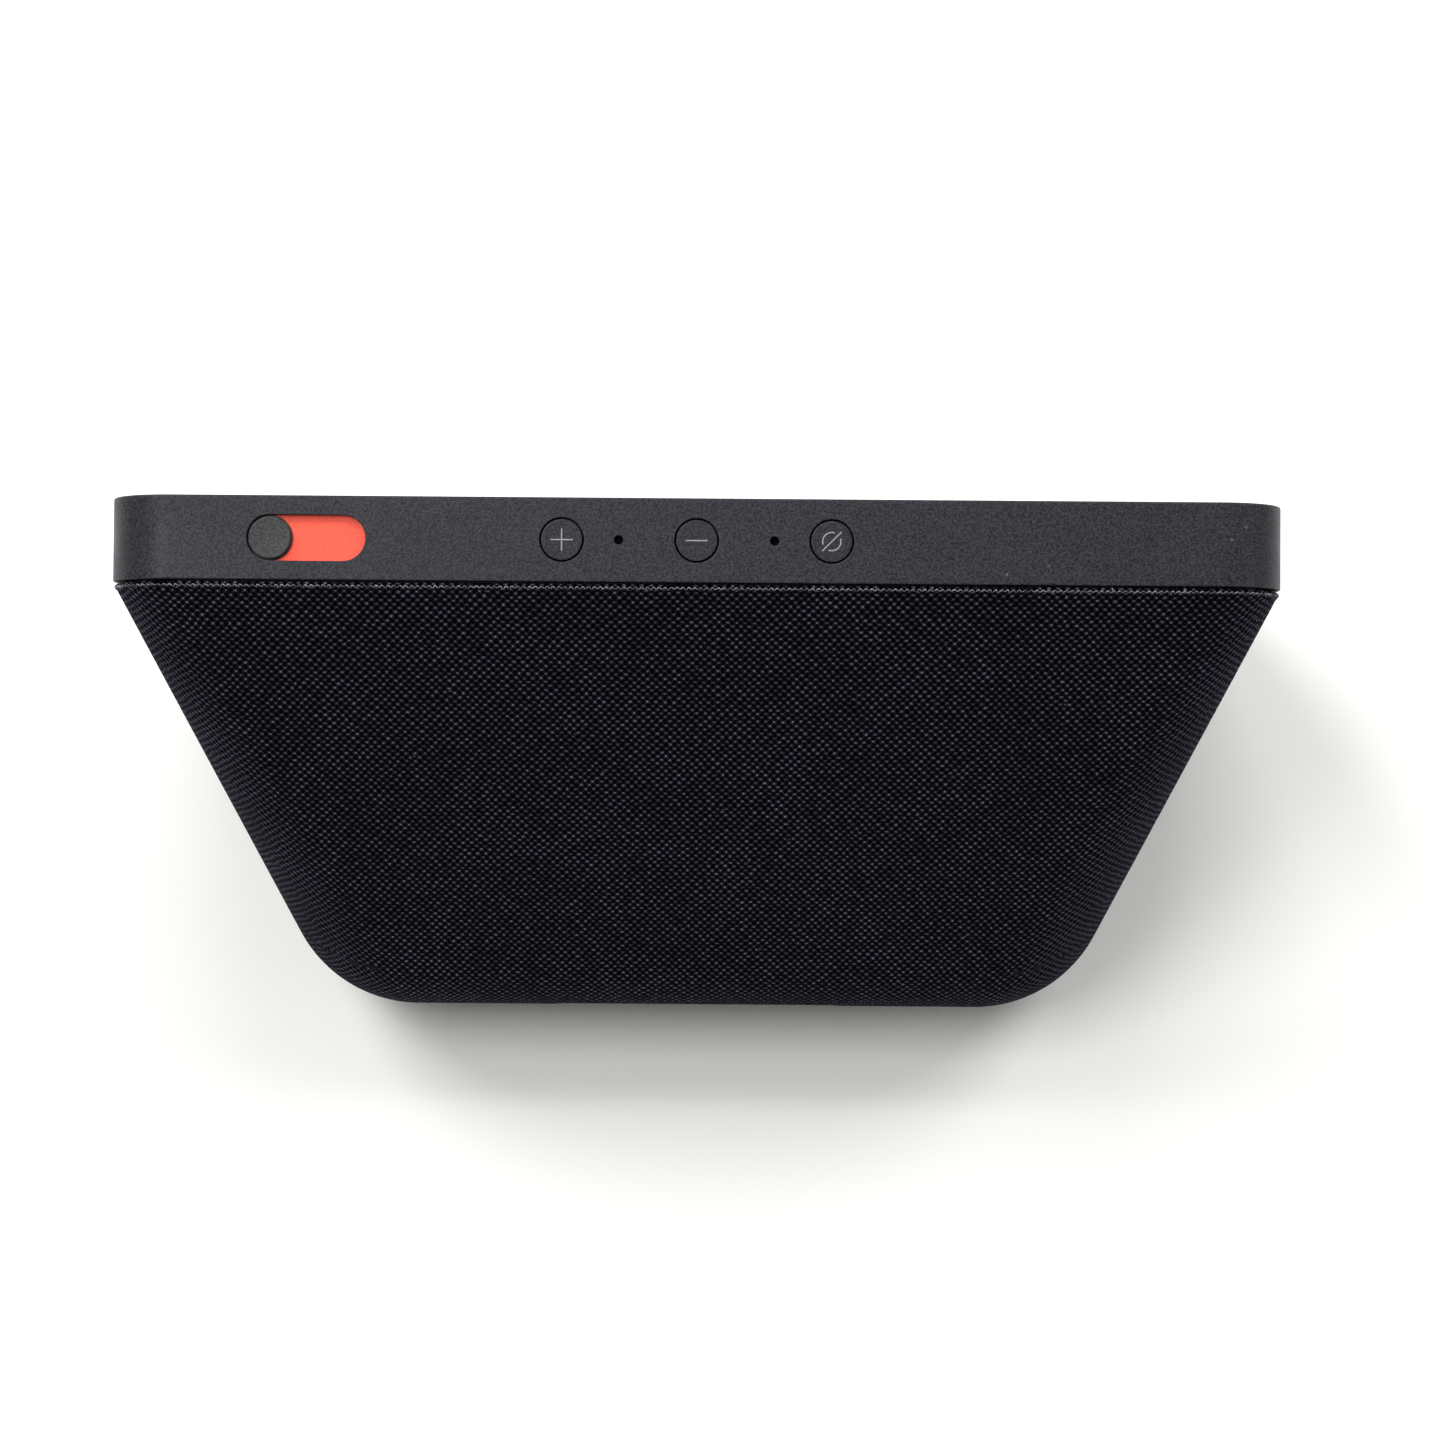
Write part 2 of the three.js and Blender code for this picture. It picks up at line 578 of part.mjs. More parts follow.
// ---- The camera and its sliding shutter ----
function cameraShutter() {
  const x = shutterRest;
  const top = frame.height;
  const stripTop = top - shutter.roof - gap;
  const stripBottom = stripTop - shutter.strip;
  const trackTop = stripBottom - gap - 0.2;
  const trackBottom = trackTop - shutter.track;
  const tabTop = trackBottom - gap;
  const tabBottom = tabTop - shutter.strip;
  const stemHole = keyRod(x, shutter.stem + gap, 0, top, 16);

  const knob = keyRod(x, shutter.knob, stripTop + gap, top - button.sink)
    .add(keyRod(x, shutter.stem, tabBottom + 0.1, stripTop + 0.5, 16));
  add(display, "shutter_knob", knob, "frame");

  // The strip trails the knob, and shows in the slot while the camera is covered.
  const outline = new THREE.Shape();
  outline.moveTo(x - stripReach, keyLine - stripHalf);
  outline.absarc(x, keyLine, stripHalf, -Math.PI / 2, Math.PI / 2);
  outline.lineTo(x - stripReach, keyLine + stripHalf);
  outline.closePath();
  add(display, "shutter_indicator", alongV(outline, stripBottom, stripTop, 8).subtract(stemHole), "orange");

  const half = keyLine - ledgeEnd - ledgeClearance;
  const run = 2 * (shutter.stem + 2 * gap);
  const track = block([trackFrom, keyLine - half, trackBottom], [trackTo, keyLine + half, trackTop])
    .subtract(alongV(stadium(x - shutter.travel / 2, shutter.travel + run, run), 0, top));
  add(display, "shutter_track", track, "housing");

  // An angled plate: a tab under the track, and the blade in front of the lens.
  const side = shutter.bladeHalf;
  const bladeEnd = bladeStart + shutter.blade;
  const tabPlate = block([x - side, bladeStart, tabBottom], [x + side, keyLine + side - 1.5, tabTop]);
  const bladeLow = cameraHeight - camera.barrel - 0.4;
  const blade = block([x - side, bladeStart, bladeLow], [x + side, bladeEnd, tabTop]);
  add(display, "shutter_blade", tabPlate.subtract(stemHole).add(blade), "housing");

  const front = bladeEnd + gap;
  const start = front + camera.barrelLength;
  const low = cameraHeight - camera.height / 2;
  const cameraBox = block([x - camera.width / 2, start, low],
    [x + camera.width / 2, start + camera.depth, low + camera.height]);
  const module = cameraBox.add(rodAlongW(x, cameraHeight, camera.barrel, front, start + 0.5, 24))
    .subtract(rodAlongW(x, cameraHeight, camera.lens + 0.1, 0, start + 0.4, 24));
  add(display, "camera_module", module, "housing");
  add(display, "camera_lens", rodAlongW(x, cameraHeight, camera.lens, front + 0.1, start + 0.1, 24), "glass");

  const eye = x + sensor.fromCamera;
  const eyeStart = glassEnd + gap + sensor.behindGlass;
  const eyeLow = cameraHeight - sensor.height / 2;
  add(display, "light_sensor", block([eye - sensor.width / 2, eyeStart, eyeLow],
    [eye + sensor.width / 2, eyeStart + sensor.depth, eyeLow + sensor.height]), "housing");
}

// ---- Electronics ----
function electronics() {
  const { width, height, thickness, low } = mainBoard;
  const end = boardStart + thickness;
  let circuit = block([-width / 2, boardStart, low], [width / 2, end, low + height]);
  boardScrews.forEach(([x, v], i) => {
    circuit = circuit.subtract(rodAlongW(x, v, screw.hole, 0, end + 1));
    const head = rodAlongW(x, v, screw.head, end + gap, end + gap + screw.headHeight, screw.sides);
    const shank = rodAlongW(x, v, screw.shank, boardStart - chassis.standoff + 1, end + 1, screw.sides);
    add(display, `main_board_screw_${i + 1}`, head.add(shank), "steel");
  });
  add(display, "main_board", circuit, "circuit");
  const canEnd = end + gap + shield.height;
  const shieldLow = boardMiddle - shield.below;
  const shieldHigh = boardMiddle + shield.above;
  const can = block([-shield.left, end + gap, shieldLow], [shield.right, canEnd, shieldHigh]);
  add(display, "shield_can", can, "steel");

  const plateStart = canEnd + gap;
  const plateEnd = plateStart + spreader.thickness;
  const from = -shield.left - spreader.margin;
  const to = shield.right + spreader.margin;
  const [sinkLow, sinkHigh] = [shieldLow - spreader.lead, shieldHigh + spreader.lead];
  let heatSink = block([from, plateStart, sinkLow], [to, plateEnd, sinkHigh]);
  for (let k = 0; k < spreader.fins; k++) {
    const finSpan = to - from - 2 * spreader.lead - spreader.fin;
    const x = from + spreader.lead + (k * finSpan) / (spreader.fins - 1);
    heatSink = heatSink.add(block([x, plateEnd - gap, shieldLow], [x + spreader.fin, plateEnd + spreader.finHeight,
      shieldHigh]));
  }
  add(display, "heat_spreader", heatSink, "aluminium");
}

// A ribbon cable folded round the chassis, from the display panel to the main board.
function displayRibbon() {
  const start = glassEnd + gap + panel.thickness / 2;
  const end = boardStart - 1;
  const path = [[start, panel.endBorder - gap], [start, ribbon.fold], [end, ribbon.fold],
    [end, mainBoard.low + ribbon.overlap]];
  const stretches = path.slice(1).map(([w, v], i) => {
    const [lastW, lastV] = path[i];
    const high = [ribbon.half, Math.max(w, lastW) + ribbon.thickness, Math.max(v, lastV)];
    if (w !== lastW) high[2] += ribbon.thickness;
    return block([-ribbon.half, Math.min(w, lastW), Math.min(v, lastV)], high);
  });
  add(display, "display_ribbon", joined(...stretches), "paper");
}

// ---- Loudspeakers ----
// Each cone carries its dust cap and voice coil, and slides along the driver's axis.
function loudspeaker(mount, hand) {
  const { radius, flangeWidth, flange, depth, magnet, magnetDepth, coil, coilWall, play, paper } = driver;
  const cone = radius - flangeWidth;
  add(mount, `${hand}_driver_basket`, turned([
    [cone + 1.2, -flange], [cone + 1.2, 0], [radius, 0], [radius, -flange],
    [cone + 1.6, -flange - 1], [magnet - 1, -depth], [magnet - 3, -depth], [cone - 0.6, -flange - 1.6],
  ]), "steel");
  const motorTop = -depth - gap;
  const slotOuter = coil + coilWall + play;
  const slotInner = coil - play;
  const slotFloor = motorTop - magnetDepth * 0.55;
  add(mount, `${hand}_driver_magnet`, turned([
    [0, motorTop - magnetDepth], [magnet, motorTop - magnetDepth], [magnet, motorTop], [slotOuter, motorTop],
    [slotOuter, slotFloor], [slotInner, slotFloor], [slotInner, motorTop], [0, motorTop],
  ]), "steel");
  const rim = cone - 2.8;
  const coilOuter = coil + coilWall;
  const coilEnd = motorTop - 2.6;
  add(mount, `${hand}_driver_cone`, turned([
    [0, -4.2], [coil, -5.4], [rim, -1.2], [rim, -1.2 - paper], [coilOuter, -6.6], [coilOuter, coilEnd],
    [coil, coilEnd], [coil, -5.6 - paper], [0, -4.4 - paper],
  ]), "paper");
  add(mount, `${hand}_driver_surround`, turned([
    [rim + gap, -1.9], [rim + gap, -1.2], [rim + 2, 0.1], [cone + 0.9, -0.4], [cone + 0.9, -1.2], [rim + 2, -0.8],
  ]), "rubber");
}

function passiveRadiator() {
  const { radius, rim, surround, flange, plate } = radiator;
  const inner = radius - rim;
  const outer = inner - gap;
  const edge = outer - surround;
  add(rear, "radiator_frame", ring(inner, radius, -flange, 0, 32), "housing");
  add(rear, "radiator_plate", ring(0, edge - gap, -0.6 - plate, -0.6, 32), "steel");
  add(rear, "radiator_surround", turned([
    [edge, -1.8], [edge, -1], [(edge + outer) / 2, 0.4], [outer, -0.6], [outer, -1.4], [(edge + outer) / 2, -0.5],
  ], 32), "rubber");
}

// ---- Ports ----
function portPanel() {
  const socketRod = (x, radius, low, high) => rodAlongW(x, portMiddle, radius, low, high, 20);
  const play = 2 * gap;
  let tray = portRecess(gap, portBack).intersect(wedge(body.inset, bodyStart));
  tray = tray.subtract(portRecess(ports.wall + gap, portFace));
  tray = tray.subtract(socketRod(powerJack.x, powerJack.collar + gap, 0, overallDepth));
  const halfWidth = servicePort.width / 2 + play;
  const halfHeight = servicePort.height / 2 + play;
  tray = tray.subtract(block([servicePort.x - halfWidth, 0, portMiddle - halfHeight],
    [servicePort.x + halfWidth, overallDepth, portMiddle + halfHeight]));
  add(speaker, "port_panel", tray, "housing");
}

function sockets() {
  const end = portBack - gap;
  const boardHigh = portLow + mainBoard.thickness;
  const boardHalf = ports.width / 2 - 3;
  const board = block([-boardHalf, end - ports.boardDepth, portLow], [boardHalf, end, boardHigh]);
  add(speaker, "port_board", board, "circuit");

  const { x, width, height, depth, collar, bore, pin } = powerJack;
  const socketRod = (radius, low, high) => rodAlongW(x, portMiddle, radius, low, high, 20);
  const low = boardHigh + gap;
  const jack = block([x - width / 2, end - depth, low], [x + width / 2, end, low + height])
    .add(socketRod(collar, end - 1, portFace - 0.4))
    .subtract(socketRod(bore, end - depth + 3, overallDepth))
    .add(socketRod(pin, end - depth + 2, portFace - 1.2));
  add(speaker, "power_jack", jack, "housing");

  const { x: portX, width: portWidth, height: portHeight, depth: portDepth, wall, tongue } = servicePort;
  const slab = (margin, start, stop, half) => block([portX - portWidth / 2 + margin, start, portMiddle - half],
    [portX + portWidth / 2 - margin, stop, portMiddle + half]);
  const shell = slab(0, end - portDepth, portFace - 0.5, portHeight / 2)
    .subtract(slab(wall, end - portDepth + 1, overallDepth, portHeight / 2 - wall))
    .add(slab(2.5 * wall, end - portDepth + 0.5, portFace - 1.5, tongue / 2));
  add(speaker, "service_port", shell, "steel");
}

// A two-core lead from beside a driver's magnet to the main board, which it reaches from behind.
function speakerLead(hand, side) {
  const back = boardStart + mainBoard.thickness;
  const places = [[61, 9.4, 44], [58.5, 5.4, 36], [54, 2.6, 30], [49, 1.4, 27], [44, 1, 25]];
  const route = places.map(([x, behind, v]) => new THREE.Vector3(side * x, back + behind, v));
  const section = new THREE.Shape().absarc(0, 0, 0.7, 0, 2 * Math.PI);
  const options = { steps: 10, curveSegments: 4, extrudePath: new THREE.CatmullRomCurve3(route) };
  add(display, `${hand}_speaker_lead`, solid(new THREE.ExtrudeGeometry(section, options)), "rubber");
}

frontFrame();
screenStack();
keys();
keyBoardAndScrews();
microphones();
cameraShutter();
rearHousing();
fabricCover();
underside();
electronics();
displayRibbon();
portPanel();
sockets();
passiveRadiator();
for (const [hand, side] of [["right", 1], ["left", -1]]) {
  loudspeaker(sides[hand], hand);
  speakerLead(hand, side);
}

export default speaker;
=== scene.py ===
import math

import bmesh
import bpy
import numpy as np
from mathutils import Matrix, Vector
from mathutils.kdtree import KDTree


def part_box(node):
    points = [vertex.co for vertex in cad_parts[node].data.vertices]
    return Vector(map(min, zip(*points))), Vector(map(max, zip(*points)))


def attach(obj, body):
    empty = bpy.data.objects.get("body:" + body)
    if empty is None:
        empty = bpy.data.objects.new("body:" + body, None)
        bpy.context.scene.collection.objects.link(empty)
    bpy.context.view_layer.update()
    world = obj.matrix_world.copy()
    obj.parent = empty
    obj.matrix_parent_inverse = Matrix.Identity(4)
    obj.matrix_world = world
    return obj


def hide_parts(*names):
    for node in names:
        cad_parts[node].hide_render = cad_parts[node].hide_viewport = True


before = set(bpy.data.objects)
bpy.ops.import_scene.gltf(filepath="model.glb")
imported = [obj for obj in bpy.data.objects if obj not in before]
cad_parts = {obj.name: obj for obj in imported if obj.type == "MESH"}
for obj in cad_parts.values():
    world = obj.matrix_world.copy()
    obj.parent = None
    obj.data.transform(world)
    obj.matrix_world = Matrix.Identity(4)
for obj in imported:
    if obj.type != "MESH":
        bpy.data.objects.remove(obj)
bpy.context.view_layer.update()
scene = bpy.context.scene
mm = 0.001
print("frame loaded with", len(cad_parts), "nodes")


# the leaning screen's own directions: x, w backwards from the screen, v up along it

lean = math.radians(17)
axisW = Vector((0, math.cos(lean), -math.sin(lean)))
axisV = Vector((0, math.sin(lean), math.cos(lean)))


def nodePoints(name):
    return [v.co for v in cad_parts[name].data.vertices]


originW = min(p.dot(axisW) for p in nodePoints("front_frame"))
originV = min(p.dot(axisV) for p in nodePoints("front_frame"))


def place(x, w, v):  # millimetres in, a point in metres out
    return Vector((x * mm, 0, 0)) + axisW * (w * mm + originW) + axisV * (v * mm + originV)


def localBox(name):  # lowest and highest x, w and v of a node, in millimetres
    points = nodePoints(name)
    along = [
        [p.x for p in points],
        [p.dot(axisW) - originW for p in points],
        [p.dot(axisV) - originV for p in points],
    ]
    return [min(a) / mm for a in along], [max(a) / mm for a in along]


halfWidth, frameDepth, frameHeight = localBox("front_frame")[1]


# helpers for meshes


def plainMesh(obj):  # puts the evaluated mesh in place of the modifiers
    bpy.context.view_layer.update()
    graph = bpy.context.evaluated_depsgraph_get()
    mesh = bpy.data.meshes.new_from_object(obj.evaluated_get(graph), depsgraph=graph)
    obj.modifiers.clear()
    obj.data = mesh
    return obj


def newObject(name, verts, faces, outward=True):
    mesh = bpy.data.meshes.new(name)
    mesh.from_pydata([tuple(v) for v in verts], [], faces)
    if outward:
        bm = bmesh.new()
        bm.from_mesh(mesh)
        bmesh.ops.recalc_face_normals(bm, faces=bm.faces)
        bm.to_mesh(mesh)
        bm.free()
    obj = bpy.data.objects.new(name, mesh)
    scene.collection.objects.link(obj)
    return obj


def shadeSmooth(obj, angle=32):
    obj.data.polygons.foreach_set("use_smooth", [True] * len(obj.data.polygons))
    obj.data.set_sharp_from_angle(angle=math.radians(angle))
    weighted = obj.modifiers.new("even normals", "WEIGHTED_NORMAL")
    weighted.keep_sharp = True
    return obj


def cutAway(obj, cutters):
    for cutter in cutters:
        cut = obj.modifiers.new("cut", "BOOLEAN")
        cut.operation = "DIFFERENCE"
        cut.solver = "MANIFOLD"
        cut.object = cutter
        plainMesh(obj)
        bpy.data.objects.remove(cutter)
    return obj


def runNodes(obj, tree, inputs):  # a Geometry Nodes tree run once, its result kept as a plain mesh
    modifier = obj.modifiers.new(tree.name, "NODES")
    modifier.node_group = tree
    for item in tree.interface.items_tree:
        if item.in_out == "INPUT" and item.name in inputs:
            modifier[item.identifier] = inputs[item.name]
    return plainMesh(obj)


def finished(obj, body, materials, replaced=()):
    if len(obj.data.materials) == 0:
        for material in materials:
            obj.data.materials.append(material)
    else:
        for i, material in enumerate(materials):
            obj.data.materials[i] = material
    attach(obj, body)
    if replaced:
        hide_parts(*replaced)
    return obj


def loftFaces(rings, count, closedRings=True, closedEnds=False):
    faces = []
    last = rings if closedEnds else rings - 1
    span = count if closedRings else count - 1
    for r in range(last):
        for i in range(span):
            a, b = r * count, (r + 1) % rings * count
            j = (i + 1) % count
            faces.append((a + i, a + j, b + j, b + i))
    return faces


def stadiumLoop(centre, halfLength, radius, steps):  # (x, w) round a slot, or a circle at half length 0
    x0, w0 = centre
    loop = []
    for side in (1, -1):
        for k in range(steps + 1):
            a = side * (math.pi / 2) - math.pi * k / steps
            loop.append((x0 + side * halfLength + radius * math.cos(a), w0 + radius * math.sin(a)))
    return loop


def roundedLoop(inset, steps=14):  # (x, v) round the frame's outline
    corner = frameStyle["corner"] - inset
    loop = []
    for sx, sv, start in ((1, 1, 0), (-1, 1, 90), (-1, -1, 180), (1, -1, 270)):
        x0 = sx * (halfWidth - frameStyle["corner"])
        v0 = frameHeight / 2 + sv * (frameHeight / 2 - frameStyle["corner"])
        for k in range(steps + 1):
            a = math.radians(start + 90 * k / steps)
            loop.append((x0 + corner * math.cos(a), v0 + corner * math.sin(a)))
    return loop


def turnedSolid(name, profile, centre, steps=72):  # (radius, v) profile from top axis to bottom axis
    x0, w0 = centre
    verts = [place(x0, w0, profile[0][1])]
    for radius, v in profile[1:-1]:
        for k in range(steps):
            a = 2 * math.pi * k / steps
            verts.append(place(x0 + radius * math.cos(a), w0 + radius * math.sin(a), v))
    verts.append(place(x0, w0, profile[-1][1]))
    rings = len(profile) - 2
    faces = [tuple(1 + n for n in f) for f in loftFaces(rings, steps)]
    for k in range(steps):
        j = (k + 1) % steps
        faces.append((0, 1 + j, 1 + k))
        end = 1 + (rings - 1) * steps
        faces.append((end + k, end + j, len(verts) - 1))
    return newObject(name, verts, faces)


def slotCutter(centre, halfLength, radius, levels, steps=40):  # levels: (v, how much wider)
    verts = []
    for v, grow in levels:
        verts += [place(x, w, v) for x, w in stadiumLoop(centre, halfLength, radius + grow, steps)]
    count = 2 * (steps + 1)
    faces = loftFaces(len(levels), count)
    faces.append(tuple(range(count))[::-1])
    faces.append(tuple(range((len(levels) - 1) * count, len(levels) * count)))
    obj = newObject("cutter", verts, faces, outward=False)
    bm = bmesh.new()
    bm.from_mesh(obj.data)
    bmesh.ops.remove_doubles(bm, verts=bm.verts, dist=1e-7)
    bmesh.ops.recalc_face_normals(bm, faces=bm.faces)
    bm.to_mesh(obj.data)
    bm.free()
    return obj


# helpers for materials


def add(tree, kind, inputs=None, **settings):
    made = tree.nodes.new(kind)
    for key, value in settings.items():
        setattr(made, key, value)
    for key, value in (inputs or {}).items():
        if isinstance(value, bpy.types.NodeSocket):
            tree.links.new(value, made.inputs[key])
        else:
            made.inputs[key].default_value = value
    return made


def maths(tree, operation, a, b=None, c=None):
    values = {i: v for i, v in enumerate((a, b, c)) if v is not None}
    return add(tree, "ShaderNodeMath", values, operation=operation).outputs[0]


def ramp(tree, value, low, high, toLow=0.0, toHigh=1.0):
    inputs = {"Value": value, "From Min": low, "From Max": high, "To Min": toLow, "To Max": toHigh}
    made = add(tree, "ShaderNodeMapRange", inputs, interpolation_type="SMOOTHSTEP")
    return made.outputs[0]


def blended(tree, factor, a, b, mode="MIX"):
    made = tree.nodes.new("ShaderNodeMix")
    made.data_type = "RGBA"
    made.blend_type = mode
    for socket, value in ((made.inputs[0], factor), (made.inputs[6], a), (made.inputs[7], b)):
        if isinstance(value, bpy.types.NodeSocket):
            tree.links.new(value, socket)
        else:
            socket.default_value = value
    return made.outputs[2]


def shaderGroup(name, inputs, outputs):
    tree = bpy.data.node_groups.new(name, "ShaderNodeTree")
    for title, kind, value in inputs:
        socket = tree.interface.new_socket(name=title, in_out="INPUT", socket_type=kind)
        if value is not None:
            socket.default_value = value
    for title, kind in outputs:
        tree.interface.new_socket(name=title, in_out="OUTPUT", socket_type=kind)
    return tree, tree.nodes.new("NodeGroupInput"), tree.nodes.new("NodeGroupOutput")


def useGroup(tree, group, inputs):
    made = tree.nodes.new("ShaderNodeGroup")
    made.node_tree = group
    for key, value in inputs.items():
        if isinstance(value, bpy.types.NodeSocket):
            tree.links.new(value, made.inputs[key])
        else:
            made.inputs[key].default_value = value
    return made


def startMaterial(name, **sockets):
    material = bpy.data.materials.new(name)
    material.use_nodes = True
    tree = material.node_tree
    shader = tree.nodes["Principled BSDF"]
    for key, value in sockets.items():
        title = key[0].upper() + "".join(" " + c if c.isupper() else c for c in key[1:])
        shader.inputs[title.replace("Ior", "IOR")].default_value = value
    return material, tree, shader


def colour(r, g, b):  # screen values from 0 to 255, given back as linear light
    def linear(c):
        c = c / 255
        return c / 12.92 if c <= 0.04045 else ((c + 0.055) / 1.055) ** 2.4

    return (linear(r), linear(g), linear(b), 1.0)


def objectCoordinates(tree):
    return add(tree, "ShaderNodeTexCoord").outputs["Object"]


# effects that several materials share


def makeGrain():  # the fine texture that a mould leaves on plastic
    size = ("Size", "NodeSocketFloat", 0.0004)
    tree, inside, outside = shaderGroup(
        "mouldedGrain",
        [("Vector", "NodeSocketVector", None), size],
        [("Height", "NodeSocketFloat"), ("Speckle", "NodeSocketFloat"), ("Drift", "NodeSocketFloat")],
    )
    scale = maths(tree, "DIVIDE", 1.0, inside.outputs["Size"])
    at = inside.outputs["Vector"]
    pits = add(tree, "ShaderNodeTexVoronoi", {"Vector": at, "Scale": scale}, feature="SMOOTH_F1")
    fine = add(tree, "ShaderNodeTexNoise", {"Vector": at, "Scale": scale, "Detail": 3.0})
    drift = add(tree, "ShaderNodeTexNoise", {"Vector": at, "Scale": 28.0, "Detail": 4.0})
    height = maths(tree, "MULTIPLY_ADD", fine.outputs[0], 0.6, pits.outputs["Distance"])
    tree.links.new(height, outside.inputs["Height"])
    tree.links.new(ramp(tree, fine.outputs[0], 0.35, 0.65), outside.inputs["Speckle"])
    tree.links.new(ramp(tree, drift.outputs[0], 0.3, 0.7), outside.inputs["Drift"])
    return tree


def makeEdgeWearAndHighlight():  # 1 on edges: wear together with a painted highlight along the rims, broken up along them
    tree, inside, outside = shaderGroup(
        "edgeWearAndHighlight",
        [("Vector", "NodeSocketVector", None), ("Radius", "NodeSocketFloat", 0.0004)],
        [("Wear", "NodeSocketFloat")],
    )
    bevel = add(tree, "ShaderNodeBevel", {"Radius": inside.outputs["Radius"]}, samples=4)
    true = add(tree, "ShaderNodeNewGeometry").outputs["Normal"]
    facing = add(tree, "ShaderNodeVectorMath", {0: bevel.outputs[0], 1: true}, operation="DOT_PRODUCT")
    edge = ramp(tree, maths(tree, "SUBTRACT", 1.0, facing.outputs["Value"]), 0.004, 0.12)
    patches = add(tree, "ShaderNodeTexNoise",
                  {"Vector": inside.outputs["Vector"], "Scale": 160.0, "Detail": 4.0})
    worn = maths(tree, "MULTIPLY", edge, ramp(tree, patches.outputs[0], 0.32, 0.62, 0.35, 1.0))
    tree.links.new(worn, outside.inputs["Wear"])
    return tree


def makeDust():  # settled specks on faces that look up, and soft finger marks
    tree, inside, outside = shaderGroup(
        "dustAndMarks",
        [("Vector", "NodeSocketVector", None)],
        [("Specks", "NodeSocketFloat"), ("Marks", "NodeSocketFloat")],
    )
    at = inside.outputs["Vector"]
    cells = add(tree, "ShaderNodeTexVoronoi", {"Vector": at, "Scale": 420.0})
    rare = add(tree, "ShaderNodeSeparateColor", {"Color": cells.outputs["Color"]}).outputs[0]
    dot = ramp(tree, cells.outputs["Distance"], 0.06, 0.14, 1.0, 0.0)
    up = add(tree, "ShaderNodeSeparateXYZ",
             {0: add(tree, "ShaderNodeNewGeometry").outputs["Normal"]}).outputs[2]
    specks = maths(tree, "MULTIPLY", dot, ramp(tree, rare, 0.955, 0.97))
    specks = maths(tree, "MULTIPLY", specks, ramp(tree, up, 0.2, 0.7))
    smears = add(tree, "ShaderNodeTexNoise", {"Vector": at, "Scale": 60.0, "Detail": 5.0, "Distortion": 1.2})
    tree.links.new(specks, outside.inputs["Specks"])
    tree.links.new(ramp(tree, smears.outputs[0], 0.42, 0.7), outside.inputs["Marks"])
    return tree


def makeKnit():  # an open diagonal knit, from cloth coordinates in metres
    across = ("Across", "NodeSocketFloat", 0.00153)
    along = ("Along", "NodeSocketFloat", 0.00196)
    tree, inside, outside = shaderGroup(
        "openKnit",
        [("Cloth", "NodeSocketVector", None), across, along],
        [("Height", "NodeSocketFloat"), ("Yarn", "NodeSocketFloat"), ("Knot", "NodeSocketFloat"),
         ("Row", "NodeSocketFloat"), ("Tint", "NodeSocketFloat"), ("Drift", "NodeSocketFloat")],
    )
    cloth = inside.outputs["Cloth"]
    wander = add(tree, "ShaderNodeTexNoise", {"Vector": cloth, "Scale": 260.0, "Detail": 2.0})
    centred = add(tree, "ShaderNodeVectorMath", {0: wander.outputs["Color"], 1: (0.5, 0.5, 0.5)},
                  operation="SUBTRACT")
    nudge = add(tree, "ShaderNodeVectorMath", {0: centred.outputs[0], "Scale": 0.0011}, operation="SCALE")
    moved = add(tree, "ShaderNodeVectorMath", {0: cloth, 1: nudge.outputs[0]}, operation="ADD")
    apart = add(tree, "ShaderNodeSeparateXYZ", {0: moved.outputs[0]})
    u = maths(tree, "DIVIDE", apart.outputs[0], inside.outputs["Across"])
    v = maths(tree, "DIVIDE", apart.outputs[1], inside.outputs["Along"])
    rising, falling = maths(tree, "ADD", u, v), maths(tree, "SUBTRACT", u, v)
    ridges = []
    for line in (rising, falling):
        wave = maths(tree, "ABSOLUTE", maths(tree, "COSINE", maths(tree, "MULTIPLY", line, math.pi)))
        ridges.append(maths(tree, "POWER", wave, 3.2))
    over = maths(tree, "MULTIPLY", maths(tree, "COSINE", maths(tree, "MULTIPLY", u, 2 * math.pi)), 0.22)
    first = maths(tree, "MULTIPLY", ridges[0], maths(tree, "ADD", over, 0.78))
    second = maths(tree, "MULTIPLY", ridges[1], maths(tree, "SUBTRACT", 0.78, over))
    yarn = maths(tree, "SMOOTH_MAX", first, second, 0.08)
    knot = maths(tree, "POWER", maths(tree, "MULTIPLY", ridges[0], ridges[1]), 1.6)
    row = maths(tree, "ABSOLUTE", maths(tree, "COSINE", maths(tree, "MULTIPLY", v, 2 * math.pi)))
    cell = add(tree, "ShaderNodeCombineXYZ",
               {0: maths(tree, "ROUND", rising), 1: maths(tree, "ROUND", falling)})
    tint = add(tree, "ShaderNodeTexWhiteNoise", {"Vector": cell.outputs[0]}, noise_dimensions="2D")
    fibres = add(tree, "ShaderNodeTexNoise", {"Vector": moved.outputs[0], "Scale": 5200.0, "Detail": 2.0})
    height = maths(tree, "MULTIPLY_ADD", fibres.outputs[0], 0.16, yarn)
    height = maths(tree, "MULTIPLY_ADD", knot, 0.35, height)
    height = maths(tree, "MULTIPLY_ADD", row, 0.45, height)
    drift = add(tree, "ShaderNodeTexNoise", {"Vector": cloth, "Scale": 45.0, "Detail": 3.0})
    results = {"Height": height, "Yarn": yarn, "Knot": knot, "Row": row, "Tint": tint.outputs["Value"],
               "Drift": ramp(tree, drift.outputs[0], 0.3, 0.7)}
    for title, socket in results.items():
        tree.links.new(socket, outside.inputs[title])
    return tree


grainGroup = makeGrain()
wearAndHighlightGroup = makeEdgeWearAndHighlight()
dustGroup = makeDust()
knitGroup = makeKnit()


def bumped(tree, shader, height, distance, strength=1.0):
    bump = add(tree, "ShaderNodeBump", {"Height": height, "Distance": distance, "Strength": strength})
    tree.links.new(bump.outputs[0], shader.inputs["Normal"])


